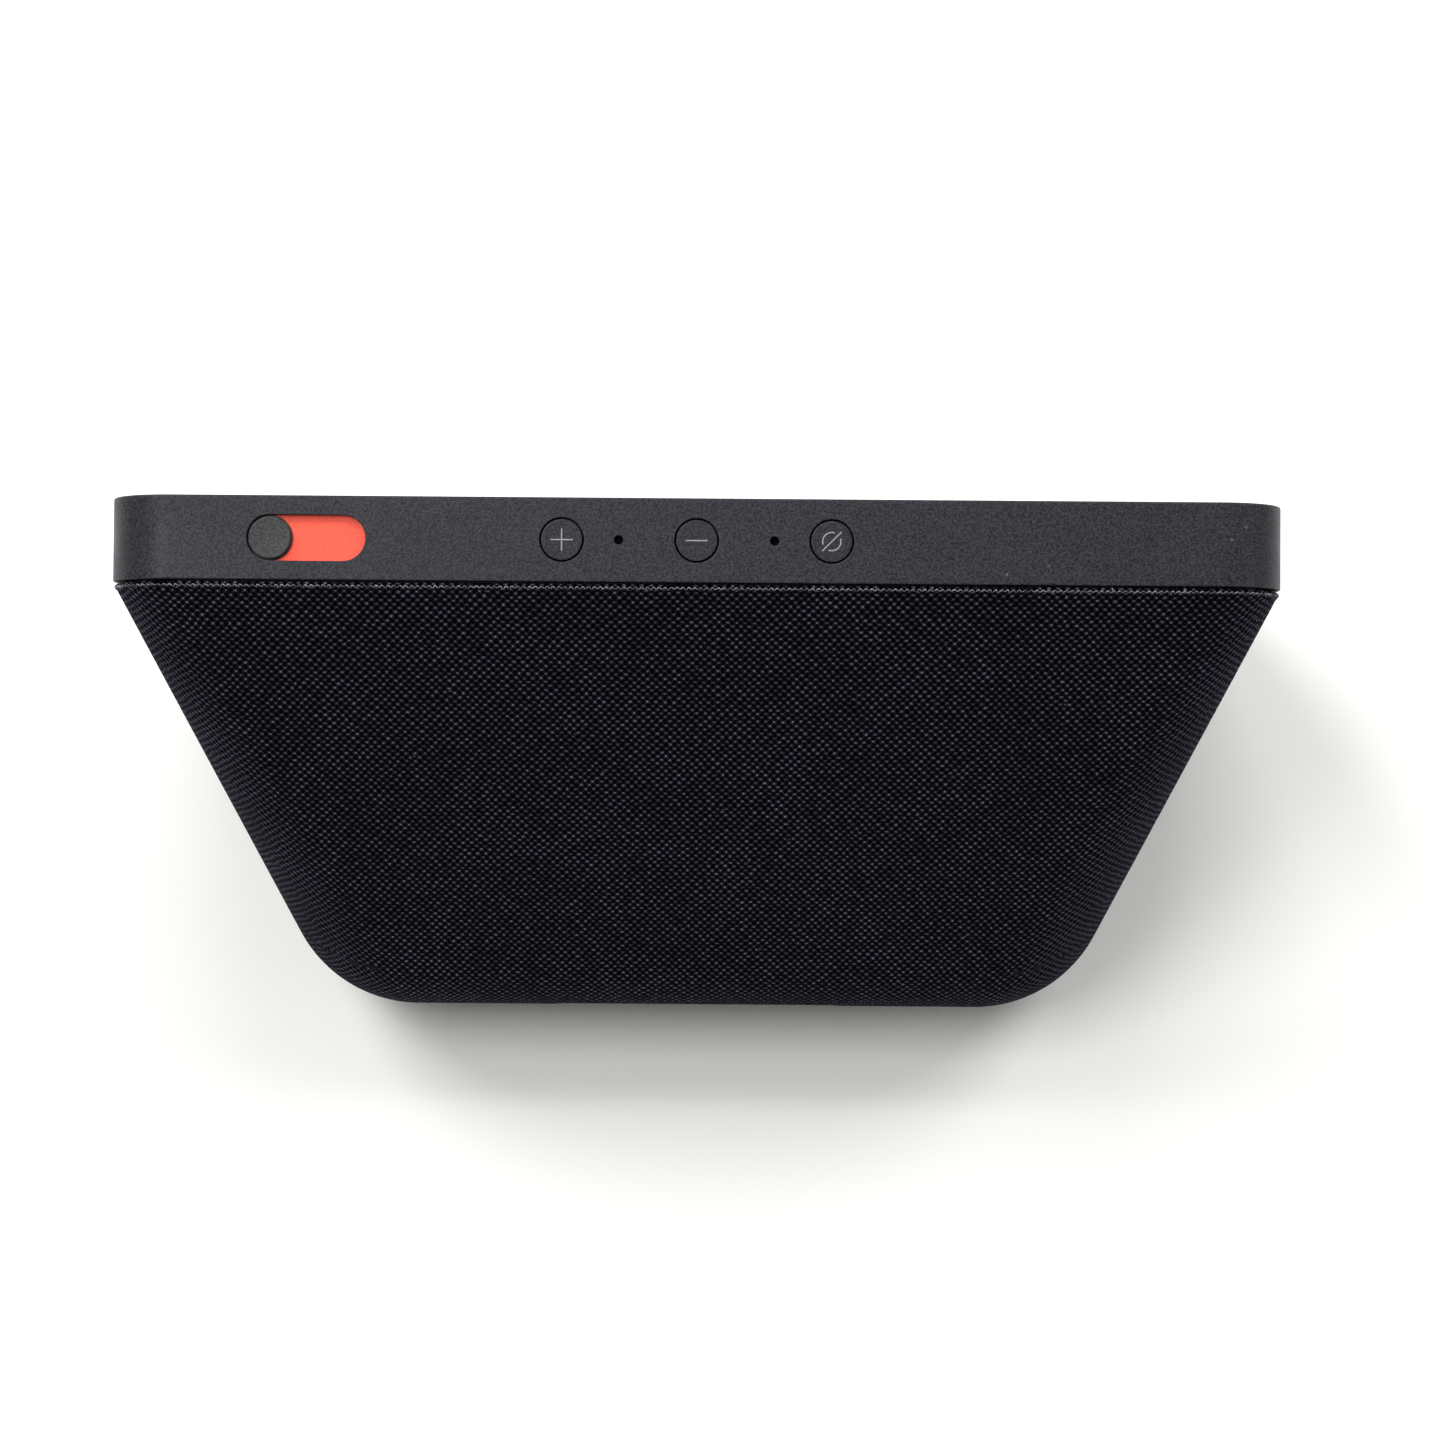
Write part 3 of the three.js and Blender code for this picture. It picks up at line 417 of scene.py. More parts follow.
def mouldedPlastic(name, dark, light, worn, roughness, grain=0.0004, depth=0.00002, wear=0.6, **sockets):
    material, tree, shader = startMaterial(name, **sockets)
    at = objectCoordinates(tree)
    grained = useGroup(tree, grainGroup, {"Vector": at, "Size": grain})
    edges = useGroup(tree, wearAndHighlightGroup, {"Vector": at, "Radius": 0.00025})
    dust = useGroup(tree, dustGroup, {"Vector": at})
    base = blended(tree, grained.outputs["Speckle"], dark, light)
    # edges turn to a lighter colour: partly wear, partly a painted highlight along the rims
    base = blended(tree, maths(tree, "MULTIPLY", edges.outputs["Wear"], wear), base, worn)
    base = blended(tree, maths(tree, "MULTIPLY", dust.outputs["Specks"], 0.22), base, (0.3, 0.3, 0.29, 1))
    tree.links.new(base, shader.inputs["Base Color"])
    rough = maths(tree, "MULTIPLY_ADD", grained.outputs["Drift"], 0.06, roughness)
    rough = maths(tree, "MULTIPLY_ADD", dust.outputs["Marks"], -0.07, rough)
    rough = maths(tree, "MULTIPLY_ADD", edges.outputs["Wear"], -0.1, rough)
    tree.links.new(rough, shader.inputs["Roughness"])
    bumped(tree, shader, grained.outputs["Height"], depth)
    return material


framePlastic = mouldedPlastic(
    "charcoalFramePlastic", colour(17, 18, 24), colour(46, 47, 54), colour(84, 85, 90), 0.44,
    grain=0.00036, depth=0.00002, wear=0.3, specularIorLevel=0.2)
keyPlastic = mouldedPlastic(
    "charcoalKeyPlastic", colour(17, 17, 24), colour(44, 45, 52), colour(84, 85, 90), 0.42,
    grain=0.00036, depth=0.00002, wear=0.2, specularIorLevel=0.2)
sliderPlastic = mouldedPlastic(
    "greySliderPlastic", colour(36, 36, 37), colour(58, 58, 60), colour(96, 96, 98), 0.42,
    grain=0.00036, depth=0.00002, wear=0.25, specularIorLevel=0.2)
orangePlastic = mouldedPlastic(
    "orangeIndicatorPlastic", colour(236, 66, 40), colour(246, 78, 50), colour(255, 120, 92), 0.5,
    grain=0.00025, wear=0.25)
iconPrint = mouldedPlastic(
    "paleIconPrint", colour(112, 114, 124), colour(132, 134, 144), colour(205, 205, 208), 0.55, grain=0.0001,
    depth=0.000004, wear=0.2)


def makeCloth():
    material, tree, shader = startMaterial(
        "darkOpenKnit", sheenWeight=0.008, sheenRoughness=0.35, sheenTint=(0.8, 0.8, 0.95, 1),
        specularIorLevel=0.02)
    cloth = add(tree, "ShaderNodeUVMap", uv_map="cloth").outputs[0]
    knit = useGroup(tree, knitGroup, {"Cloth": cloth})
    yarn = blended(tree, knit.outputs["Tint"], colour(10, 8, 22), colour(35, 31, 50))
    # painted highlight on the knit's crossings, brighter or duller at random from knot to knot
    bright = ramp(tree, knit.outputs["Tint"], 0.0, 1.0, 0.25, 1.0)
    facing = add(tree, "ShaderNodeSeparateXYZ", {0: add(tree, "ShaderNodeNewGeometry").outputs["Normal"]})
    # the rows close up into ribs round the wedge's sides; there, by which way the surface faces, the painted
    # knot highlights dim and a painted highlight lights the rib tops
    sideways = maths(tree, "ABSOLUTE", facing.outputs[0])
    knots = maths(tree, "MULTIPLY", ramp(tree, knit.outputs["Knot"], 0.2, 0.85),
                  ramp(tree, sideways, 0.15, 0.6, 1.0, 0.45))
    lit = maths(tree, "MULTIPLY", knots, bright)
    yarn = blended(tree, lit, yarn, colour(160, 156, 174))
    ribHighlight = maths(tree, "MULTIPLY", ramp(tree, knit.outputs["Row"], 0.55, 0.95),
                  ramp(tree, sideways, 0.12, 0.5, 0.3, 1.0))
    yarn = blended(tree, ribHighlight, yarn, colour(88, 84, 106))
    yarn = blended(tree, maths(tree, "MULTIPLY", knit.outputs["Drift"], 0.25), yarn, colour(10, 9, 16))
    # the knit's holes and the gaps between its rows are painted near black: painted shade of the dark space
    # behind the cloth
    yarnOverHoleShade = maths(tree, "MULTIPLY", ramp(tree, knit.outputs["Yarn"], 0.2, 0.66),
                  ramp(tree, knit.outputs["Row"], 0.1, 0.7, 0.3, 1.0))
    base = blended(tree, yarnOverHoleShade, colour(0, 0, 1), yarn)
    lint = useGroup(tree, dustGroup, {"Vector": objectCoordinates(tree)})
    base = blended(tree, maths(tree, "MULTIPLY", lint.outputs["Specks"], 0.35), base, (0.4, 0.4, 0.42, 1))
    tree.links.new(base, shader.inputs["Base Color"])
    tree.links.new(ramp(tree, knit.outputs["Yarn"], 0.1, 0.7, 0.95, 0.62), shader.inputs["Roughness"])
    bumped(tree, shader, knit.outputs["Height"], 0.0006)
    return material


knitCloth = makeCloth()


def makeLitEdgeYarn():  # the twisted yarn of the cloth's looped edge, coloured pale as a painted highlight where the fold catches the light
    material, tree, shader = startMaterial("litPaleEdgeYarn", roughness=0.8, specularIorLevel=0.1,
                                           sheenWeight=0.05)
    at = objectCoordinates(tree)
    twist = add(tree, "ShaderNodeTexWave", {"Vector": at, "Scale": 900.0, "Distortion": 3.0},
                bands_direction="DIAGONAL")
    patches = add(tree, "ShaderNodeTexNoise", {"Vector": at, "Scale": 420.0, "Detail": 3.0})
    base = blended(tree, ramp(tree, patches.outputs[0], 0.35, 0.65), colour(74, 72, 80),
                   colour(158, 155, 164))
    base = blended(tree, maths(tree, "MULTIPLY", twist.outputs["Fac"], 0.35), base, colour(40, 38, 46))
    tree.links.new(base, shader.inputs["Base Color"])
    bumped(tree, shader, twist.outputs["Fac"], 0.00004)
    return material


litEdgeYarn = makeLitEdgeYarn()


# what the carried-over parts are made of

housingPlastic = mouldedPlastic(
    "blackHousingPlastic", colour(18, 18, 20), colour(30, 30, 33), colour(84, 85, 88), 0.5, grain=0.0008,
    depth=0.00005)
bladePlastic = mouldedPlastic(
    "blackBladeAcetal", colour(12, 12, 13), colour(20, 20, 22), colour(60, 60, 63), 0.38, grain=0.0003,
    depth=0.00001)
softRubber = mouldedPlastic(
    "softBlackRubber", colour(16, 16, 17), colour(31, 31, 33), colour(58, 58, 60), 0.78, grain=0.0007,
    depth=0.00006, wear=0.35, specularIorLevel=0.3)
darkFerrite = mouldedPlastic(
    "sinteredFerrite", colour(28, 27, 27), colour(52, 51, 50), colour(98, 96, 94), 0.6, grain=0.0005,
    depth=0.00005)
leadSkin = mouldedPlastic(
    "leadInsulation", colour(104, 16, 14), colour(128, 24, 20), colour(150, 60, 54), 0.36, grain=0.0006,
    depth=0.00001, wear=0.2)
# near black: partly the dust mesh's own colour, partly painted shade of the deep microphone holes
dustMeshAndHoleShade = mouldedPlastic(
    "fineDustMeshAndHoleShade", colour(1, 1, 1), colour(9, 9, 10), colour(12, 12, 12), 0.9, grain=0.0001, depth=0.00005,
    wear=0.1, specularIorLevel=0.1)
borderInk = mouldedPlastic(
    "blackBorderInk", colour(6, 6, 7), colour(10, 10, 11), colour(20, 20, 21), 0.5, grain=0.0002,
    depth=0.000002,
    wear=0.1)


# rolled or turned metal, with its lines, and worn edges that also carry a painted highlight
def workedMetal(name, dark, light, bright, stretch, roughness):
    material, tree, shader = startMaterial(name, metallic=1.0)
    at = objectCoordinates(tree)
    drawn = add(tree, "ShaderNodeMapping", {"Vector": at, "Scale": stretch})
    lines = add(tree, "ShaderNodeTexNoise",
                {"Vector": drawn.outputs[0], "Scale": 700.0, "Detail": 4.0}).outputs[0]
    edges = useGroup(tree, wearAndHighlightGroup, {"Vector": at, "Radius": 0.0003})
    dust = useGroup(tree, dustGroup, {"Vector": at})
    base = blended(tree, ramp(tree, lines, 0.3, 0.7), dark, light)
    # edges turn to the bright colour: partly wear, partly a painted highlight along the rims
    base = blended(tree, maths(tree, "MULTIPLY", edges.outputs["Wear"], 0.6), base, bright)
    tree.links.new(base, shader.inputs["Base Color"])
    rough = ramp(tree, lines, 0.3, 0.7, roughness - 0.07, roughness + 0.07)
    rough = maths(tree, "MULTIPLY_ADD", dust.outputs["Marks"], 0.12, rough)
    tree.links.new(rough, shader.inputs["Roughness"])
    bumped(tree, shader, lines, 0.00001)
    return material


plainSteel = workedMetal(
    "platedSteel", (0.32, 0.32, 0.33, 1), (0.5, 0.5, 0.51, 1), (0.7, 0.7, 0.72, 1), (1, 1, 0.2), 0.32)
rolledAluminium = workedMetal(
    "rolledAluminium", (0.5, 0.51, 0.52, 1), (0.68, 0.69, 0.7, 1), (0.85, 0.85, 0.86, 1), (0.08, 1, 1), 0.38)


def makeSolderMask():  # green lacquer over copper tracks, with tinned holes
    material, tree, shader = startMaterial("greenSolderMask", roughness=0.35, coatWeight=0.3,
                                           coatRoughness=0.2)
    at = objectCoordinates(tree)
    cells = add(tree, "ShaderNodeTexVoronoi", {"Vector": at, "Scale": 190.0}, distance="CHEBYCHEV")
    pick = add(tree, "ShaderNodeSeparateColor", {"Color": cells.outputs["Color"]})
    apart = add(tree, "ShaderNodeSeparateXYZ", {0: at})
    upward = maths(tree, "ADD", apart.outputs[1], apart.outputs[2])
    tracks = []
    for line in (apart.outputs[0], upward):
        wave = maths(tree, "FRACT", maths(tree, "MULTIPLY", line, 1150.0))
        away = maths(tree, "ABSOLUTE", maths(tree, "SUBTRACT", wave, 0.5))
        tracks.append(ramp(tree, away, 0.16, 0.22, 1.0, 0.0))
    turned = maths(tree, "GREATER_THAN", pick.outputs[0], 0.5)
    across = maths(tree, "MULTIPLY", tracks[0], turned)
    along = maths(tree, "MULTIPLY", tracks[1], maths(tree, "SUBTRACT", 1.0, turned))
    track = maths(tree, "ADD", across, along)
    holes = add(tree, "ShaderNodeTexVoronoi", {"Vector": at, "Scale": 330.0})
    tinned = ramp(tree, holes.outputs["Distance"], 0.14, 0.2, 1.0, 0.0)
    base = blended(tree, track, colour(12, 66, 42), colour(24, 96, 60))
    base = blended(tree, tinned, base, (0.62, 0.6, 0.52, 1))
    tree.links.new(base, shader.inputs["Base Color"])
    tree.links.new(tinned, shader.inputs["Metallic"])
    bumped(tree, shader, maths(tree, "ADD", track, tinned), 0.00003)
    return material


def makePaper():  # pressed pulp with fibres
    material, tree, shader = startMaterial("pressedConePaper", specularIorLevel=0.2)
    at = objectCoordinates(tree)
    fibres = add(tree, "ShaderNodeTexNoise",
                 {"Vector": at, "Scale": 1500.0, "Detail": 5.0, "Distortion": 2.0}).outputs[0]
    blotches = add(tree, "ShaderNodeTexNoise", {"Vector": at, "Scale": 120.0, "Detail": 3.0}).outputs[0]
    base = blended(tree, ramp(tree, fibres, 0.35, 0.65), colour(26, 26, 28), colour(52, 52, 55))
    base = blended(tree, ramp(tree, blotches, 0.4, 0.7, 0.0, 0.4), base, colour(20, 20, 22))
    tree.links.new(base, shader.inputs["Base Color"])
    tree.links.new(ramp(tree, fibres, 0.3, 0.7, 0.72, 0.9), shader.inputs["Roughness"])
    bumped(tree, shader, fibres, 0.00008)
    return material


def makeScreen():  # an unlit screen: near black, with its fine grid of cells
    material, tree, shader = startMaterial("unlitScreen", coatWeight=0.6, coatRoughness=0.05)
    at = objectCoordinates(tree)
    apart = add(tree, "ShaderNodeSeparateXYZ", {0: at})
    grid = []
    for line in (apart.outputs[0], apart.outputs[2]):
        wave = maths(tree, "FRACT", maths(tree, "MULTIPLY", line, 5200.0))
        away = maths(tree, "ABSOLUTE", maths(tree, "SUBTRACT", wave, 0.5))
        grid.append(ramp(tree, away, 0.34, 0.44, 1.0, 0.0))
    cell = maths(tree, "MULTIPLY", grid[0], grid[1])
    haze = add(tree, "ShaderNodeTexNoise", {"Vector": at, "Scale": 24.0, "Detail": 4.0}).outputs[0]
    base = blended(tree, cell, colour(4, 4, 5), colour(15, 15, 19))
    base = blended(tree, ramp(tree, haze, 0.4, 0.7, 0.0, 0.3), base, colour(18, 18, 22))
    tree.links.new(base, shader.inputs["Base Color"])
    tree.links.new(ramp(tree, haze, 0.3, 0.7, 0.16, 0.26), shader.inputs["Roughness"])
    bumped(tree, shader, cell, 0.000002)
    return material


def makeRibbon():  # amber film over rows of copper
    material, tree, shader = startMaterial("amberRibbonFilm", coatWeight=0.4, coatRoughness=0.15)
    at = objectCoordinates(tree)
    apart = add(tree, "ShaderNodeSeparateXYZ", {0: at})
    wave = maths(tree, "FRACT", maths(tree, "MULTIPLY", apart.outputs[0], 1600.0))
    copper = ramp(tree, maths(tree, "ABSOLUTE", maths(tree, "SUBTRACT", wave, 0.5)), 0.22, 0.28, 1.0, 0.0)
    drift = add(tree, "ShaderNodeTexNoise", {"Vector": at, "Scale": 90.0, "Detail": 3.0}).outputs[0]
    base = blended(tree, copper, colour(92, 48, 12), colour(176, 104, 44))
    base = blended(tree, ramp(tree, drift, 0.35, 0.7, 0.0, 0.35), base, colour(70, 38, 14))
    tree.links.new(base, shader.inputs["Base Color"])
    tree.links.new(maths(tree, "MULTIPLY", copper, 0.7), shader.inputs["Metallic"])
    tree.links.new(ramp(tree, drift, 0.3, 0.7, 0.26, 0.42), shader.inputs["Roughness"])
    bumped(tree, shader, copper, 0.00002)
    return material


def clearGlass(name, tintA, tintB, roughness, **sockets):  # glass with faint smears
    material, tree, shader = startMaterial(name, **sockets)
    at = objectCoordinates(tree)
    marks = useGroup(tree, dustGroup, {"Vector": at}).outputs["Marks"]
    faint = add(tree, "ShaderNodeTexNoise", {"Vector": at, "Scale": 35.0, "Detail": 3.0}).outputs[0]
    tree.links.new(blended(tree, faint, tintA, tintB), shader.inputs["Base Color"])
    tree.links.new(maths(tree, "MULTIPLY_ADD", marks, 0.05, roughness), shader.inputs["Roughness"])
    bumped(tree, shader, faint, 0.000004)
    return material


solderMask = makeSolderMask()
conePaper = makePaper()
unlitScreen = makeScreen()
ribbonFilm = makeRibbon()
paneGlass = clearGlass(
    "coverPaneGlass", (0.95, 0.97, 0.96, 1), (0.98, 0.99, 0.99, 1), 0.02, transmissionWeight=1.0, ior=1.5)
coatedLens = clearGlass(
    "coatedLensGlass", (0.02, 0.015, 0.05, 1), (0.03, 0.03, 0.07, 1), 0.03, coatWeight=1.0,
    coatTint=(0.7, 0.6, 1.0, 1))
print("shared materials made")


# camera, floor and light

cameraStyle = {"distance": 648.59, "side": -4.6, "back": 37.95, "tip": 0.0323, "roll": -0.0076,
               "lens": 95.73}


def makeCamera():
    down = -axisV
    tip, roll = cameraStyle["tip"], cameraStyle["roll"]
    looking = down * math.cos(tip) - axisW * math.sin(tip)
    pictureDown = axisW * math.cos(tip) + down * math.sin(tip)
    pictureRight = Vector((-1, 0, 0))
    right = pictureRight * math.cos(roll) + pictureDown * math.sin(roll)
    below = pictureDown * math.cos(roll) - pictureRight * math.sin(roll)
    data = bpy.data.cameras.new("camera")
    data.lens = cameraStyle["lens"]
    data.sensor_width = 36
    data.clip_start, data.clip_end = 0.01, 20
    camera = bpy.data.objects.new("camera", data)
    scene.collection.objects.link(camera)
    away = looking * cameraStyle["distance"] * mm
    spot = place(cameraStyle["side"], cameraStyle["back"], frameHeight) - away
    camera.matrix_world = Matrix.Translation(spot) @ Matrix((right, -below, -looking)).transposed().to_4x4()
    scene.camera = camera


makeCamera()

lightStyle = {  # place, aimed at, size, watts, colour
    "front softbox": ((0.0, -0.72, 1.38), (0, 0, 0.05), 0.6, 7.5, (1.0, 0.995, 0.98)),
    "left softbox": ((0.85, -0.62, 1.15), (0, 0, 0.05), 0.6, 13, (1.0, 0.995, 0.98)),
    "right softbox": ((-0.85, -0.62, 1.15), (0, 0, 0.05), 0.6, 10, (1.0, 0.995, 0.98)),
    "overhead softbox": ((0.5, 0.12, 1.38), (0, 0, 0.05), 0.6, 9.5, (1.0, 0.99, 0.97)),
    "right fill": ((-1.3, 0.2, 0.8), (0, 0, 0.06), 1.0, 2.5, (1.0, 0.99, 0.97)),
}


def makeLights():
    for name, (spot, target, size, watts, tone) in lightStyle.items():
        data = bpy.data.lights.new(name, "AREA")
        data.shape, data.size, data.energy, data.color = "SQUARE", size, watts, tone
        light = bpy.data.objects.new(name, data)
        light.location = spot
        light.rotation_euler = (Vector(target) - Vector(spot)).to_track_quat("-Z", "Y").to_euler()
        scene.collection.objects.link(light)
    world = bpy.data.worlds.new("studio")
    world.use_nodes = True
    background = world.node_tree.nodes["Background"]
    background.inputs["Color"].default_value = (0.97, 0.97, 0.95, 1)
    background.inputs["Strength"].default_value = 0.3
    scene.world = world
    scene.view_settings.view_transform = "Standard"
    scene.view_settings.look = "None"


makeLights()

floorStyle = {"reach": 3.0, "shade": (0.86, 0.86, 0.85, 1)}


def makeFloor():
    r = floorStyle["reach"]
    corners = [(-r, -r, 0), (r, -r, 0), (r, r, 0), (-r, r, 0)]
    floor = newObject("floor", corners, [(0, 1, 2, 3)], outward=False)
    material, tree, shader = startMaterial("paleFloor", roughness=0.7, specularIorLevel=0.2)
    mottle = add(tree, "ShaderNodeTexNoise",
                 {"Vector": objectCoordinates(tree), "Scale": 3.0, "Detail": 3.0})
    tone = blended(tree, mottle.outputs[0], (0.82, 0.82, 0.81, 1), floorStyle["shade"])
    tree.links.new(tone, shader.inputs["Base Color"])
    floor.data.materials.append(material)


makeFloor()
print("camera, light and floor made")


# front frame: one moulded ring, with its key holes, microphone holes and slot

frameStyle = {
    "corner": 11.0, "wall": 2.4, "rim": 0.9, "frontEdge": 0.4, "rearEdge": 0.2, "innerEdge": 0.2,
    "ledgeFront": 1.7, "ledgeBack": 2.5, "ledgeReach": 3.5,
}
topLine = {
    "keyHole": 3.8, "microphoneHole": 0.78, "slotRadius": 3.9, "slotTravel": 12.3, "holeEdge": 0.1,
    "slotEdge": 0.15, "meshDepth": 1.2,
}


def middleOf(name):  # a node's middle, x and w in millimetres
    low, high = localBox(name)
    return (low[0] + high[0]) / 2, (low[1] + high[1]) / 2


keyPlaces = {kind: middleOf(kind + "_button") for kind in ("volume_up", "volume_down", "mic_mute")}
microphonePlaces = [middleOf("microphone_left"), middleOf("microphone_right")]
sliderPlace = middleOf("shutter_knob")
slotPlace = (sliderPlace[0] - topLine["slotTravel"] / 2, sliderPlace[1])


def frameProfile():  # (inset, w) round the ring's section
    style = frameStyle
    e, r, q = style["frontEdge"], style["rearEdge"], style["innerEdge"]
    rim, wall, steps = style["rim"], style["wall"], 6
    points = []

    def corner(centreInset, centreW, radius, start, count=steps):
        for k in range(count + 1):
            a = math.radians(start + 90 * k / count)
            points.append((centreInset + radius * math.cos(a), centreW + radius * math.sin(a)))

    corner(e, e, e, 180)  # outer front edge, from the outer wall to the front
    points.append((rim, 0.0 + q))
    points.append((rim, style["ledgeFront"]))
    points.append((style["ledgeReach"], style["ledgeFront"]))
    points.append((style["ledgeReach"], style["ledgeBack"]))
    points.append((wall, style["ledgeBack"]))
    points.append((wall, frameDepth - r))
    corner(wall - r, frameDepth - r, r, 0)
    corner(r, frameDepth - r, r, 90)
    points.append((0.0, frameDepth - r - 0.5))
    points.append((0.0, e + 0.5))
    return points


def softRim(deep, top, edge):  # a cutter's levels up to a hole's softened rim, as (v, growth)
    return [(deep, 0), (top - edge, 0), (top - edge * 0.3, edge * 0.3), (top, edge),
            (top + 0.6, edge + 0.6)]


def holeCutters():
    top = frameHeight
    deep = top - frameStyle["wall"] - 2.0
    cutters = []
    for middle in keyPlaces.values():
        levels = softRim(deep, top, topLine["holeEdge"])
        cutters.append(slotCutter(middle, 0, topLine["keyHole"], levels))
    for middle in microphonePlaces:
        levels = [(deep, 0), (top - 0.1, 0), (top, 0.1), (top + 0.6, 0.7)]
        cutters.append(slotCutter((middle[0], sliderPlace[1]), 0, topLine["microphoneHole"], levels,
                                  steps=14))
    levels = softRim(deep, top, topLine["slotEdge"])
    cutters.append(slotCutter(slotPlace, topLine["slotTravel"] / 2, topLine["slotRadius"], levels))
    return cutters


def makeFrame():
    verts = []
    profile = frameProfile()
    for inset, w in profile:
        verts += [place(x, w, v) for x, v in roundedLoop(inset)]
    count = len(verts) // len(profile)
    ring = newObject("frame_shell", verts, loftFaces(len(profile), count, closedEnds=True))
    cutAway(ring, holeCutters())
    shadeSmooth(ring, 30)
    return finished(ring, "body", [framePlastic], ["front_frame"])


makeFrame()


def makeMicrophoneMeshes():  # the dust mesh at the bottom of each microphone hole, near black as painted shade of the deep hole
    top = frameHeight - topLine["meshDepth"]
    r = topLine["microphoneHole"] - 0.03
    for side, middle in zip(("left", "right"), microphonePlaces):
        profile = [(0, top), (r - 0.1, top - 0.02), (r, top - 0.1), (r, top - 0.4), (0, top - 0.4)]
        mesh = turnedSolid("microphone_mesh_" + side, profile, (middle[0], sliderPlace[1]), steps=28)
        shadeSmooth(mesh, 35)
        finished(mesh, "body", [dustMeshAndHoleShade])


makeMicrophoneMeshes()
print("front frame made")


# keys with their pale signs, and the camera slider

keyStyle = {
    "radius": 3.48, "edge": 0.12, "dish": 0.04, "top": -0.1, "flangeRadius": 4.3, "flangeTop": -2.7,
    "flangeBottom": -3.5, "fillet": 0.12, "filletHeight": 0.15, "stemRadius": 1.6, "signWidth": 0.2,
    "signDepth": 0.05, "signProud": 0.02, "plus": 3.6, "minus": 3.55,
    "ringRadius": 1.55, "slash": 4.4, "arcStarts": (74, 254), "arcSpan": 122,
}


# a round-ended stroke of print, from v low to high
def strokeMesh(path, width, low, high, middle, capSteps=6):
    half = width / 2
    points = [Vector(p) for p in path]
    left, right = [], []
    for i, p in enumerate(points):
        ahead = (points[min(i + 1, len(points) - 1)] - points[max(i - 1, 0)]).normalized()
        side = Vector((-ahead.y, ahead.x)) * half
        left.append(p + side)
        right.append(p - side)
    start = (points[1] - points[0]).normalized() * half
    end = (points[-1] - points[-2]).normalized() * half
    turns = [math.radians(180 * k / capSteps) for k in range(1, capSteps)]
    capEnd = [points[-1] + Matrix.Rotation(math.radians(90) - a, 2) @ end for a in turns]
    capStart = [points[0] + Matrix.Rotation(math.radians(-90) - a, 2) @ start for a in turns]
    outline = left + capEnd + right[::-1] + capStart
    verts = [place(middle[0] + p.x, middle[1] + p.y, v) for v in (low, high) for p in outline]
    count = len(outline)
    faces = loftFaces(2, count)
    faces += [tuple(range(count))[::-1], tuple(range(count, 2 * count))]
    return verts, faces


def signStrokes(kind):  # paths in (x, w) from the key's middle
    style = keyStyle
    if kind == "volume_up":
        h, gap = style["plus"] / 2, style["signWidth"] / 2
        return [[(-h, 0), (h, 0)], [(0, -h), (0, -gap)], [(0, gap), (0, h)]]
    if kind == "volume_down":
        h = style["minus"] / 2
        return [[(-h, 0), (h, 0)]]
    r, h = style["ringRadius"], style["slash"] / 2
    strokes = []
    for start in style["arcStarts"]:
        turns = [math.radians(start + style["arcSpan"] * k / 14) for k in range(15)]
        strokes.append([(r * math.cos(a), r * math.sin(a)) for a in turns])
    diagonal = h * math.sqrt(0.5)
    return strokes + [[(diagonal, diagonal), (-diagonal, -diagonal)]]


def makeKey(kind, middle):
    style = keyStyle
    top = frameHeight + style["top"]
    r, e = style["radius"], style["edge"]
    profile = [(0, top - style["dish"])]
    for k in range(1, 9):
        share = k / 8
        profile.append(((r - e) * share, top - style["dish"] * (1 - share ** 2)))
    for k in range(1, 7):
        a = math.radians(90 * k / 6)
        profile.append((r - e + e * math.sin(a), top - e + e * math.cos(a)))
    low, high = frameHeight + style["flangeBottom"], frameHeight + style["flangeTop"]
    stemEnd = localBox(kind + "_button")[0][2]
    profile += [(r, high + style["filletHeight"]), (r + style["fillet"], high),
                (style["flangeRadius"], high), (style["flangeRadius"], low), (style["stemRadius"], low),
                (style["stemRadius"], stemEnd), (0, stemEnd)]
    key = turnedSolid(kind + "_cap", profile, middle, steps=96)
    bm = bmesh.new()
    bm.from_mesh(key.data)
    printed = len(bm.faces)
    for path in signStrokes(kind):
        depth = style["dish"] + style["signDepth"]
        verts, faces = strokeMesh(path, style["signWidth"], top - depth,
                                  top - style["dish"] + style["signProud"], middle)
        made = [bm.verts.new(v) for v in verts]
        for f in faces:
            bm.faces.new([made[i] for i in f]).material_index = 1
    bm.faces.ensure_lookup_table()
    bmesh.ops.recalc_face_normals(bm, faces=bm.faces[printed:])
    bm.to_mesh(key.data)
    bm.free()
    shadeSmooth(key, 35)
    return finished(key, kind + "_key", [keyPlastic, iconPrint], [kind + "_button"])


for kind, middle in keyPlaces.items():
    makeKey(kind, middle)

sliderStyle = {"radius": 3.6, "edge": 0.2, "top": -0.1, "dish": 0.12, "collar": 0.26,
               "skirt": 1.0, "collarTop": 1.05, "collarBottom": 1.38, "stem": 1.7}


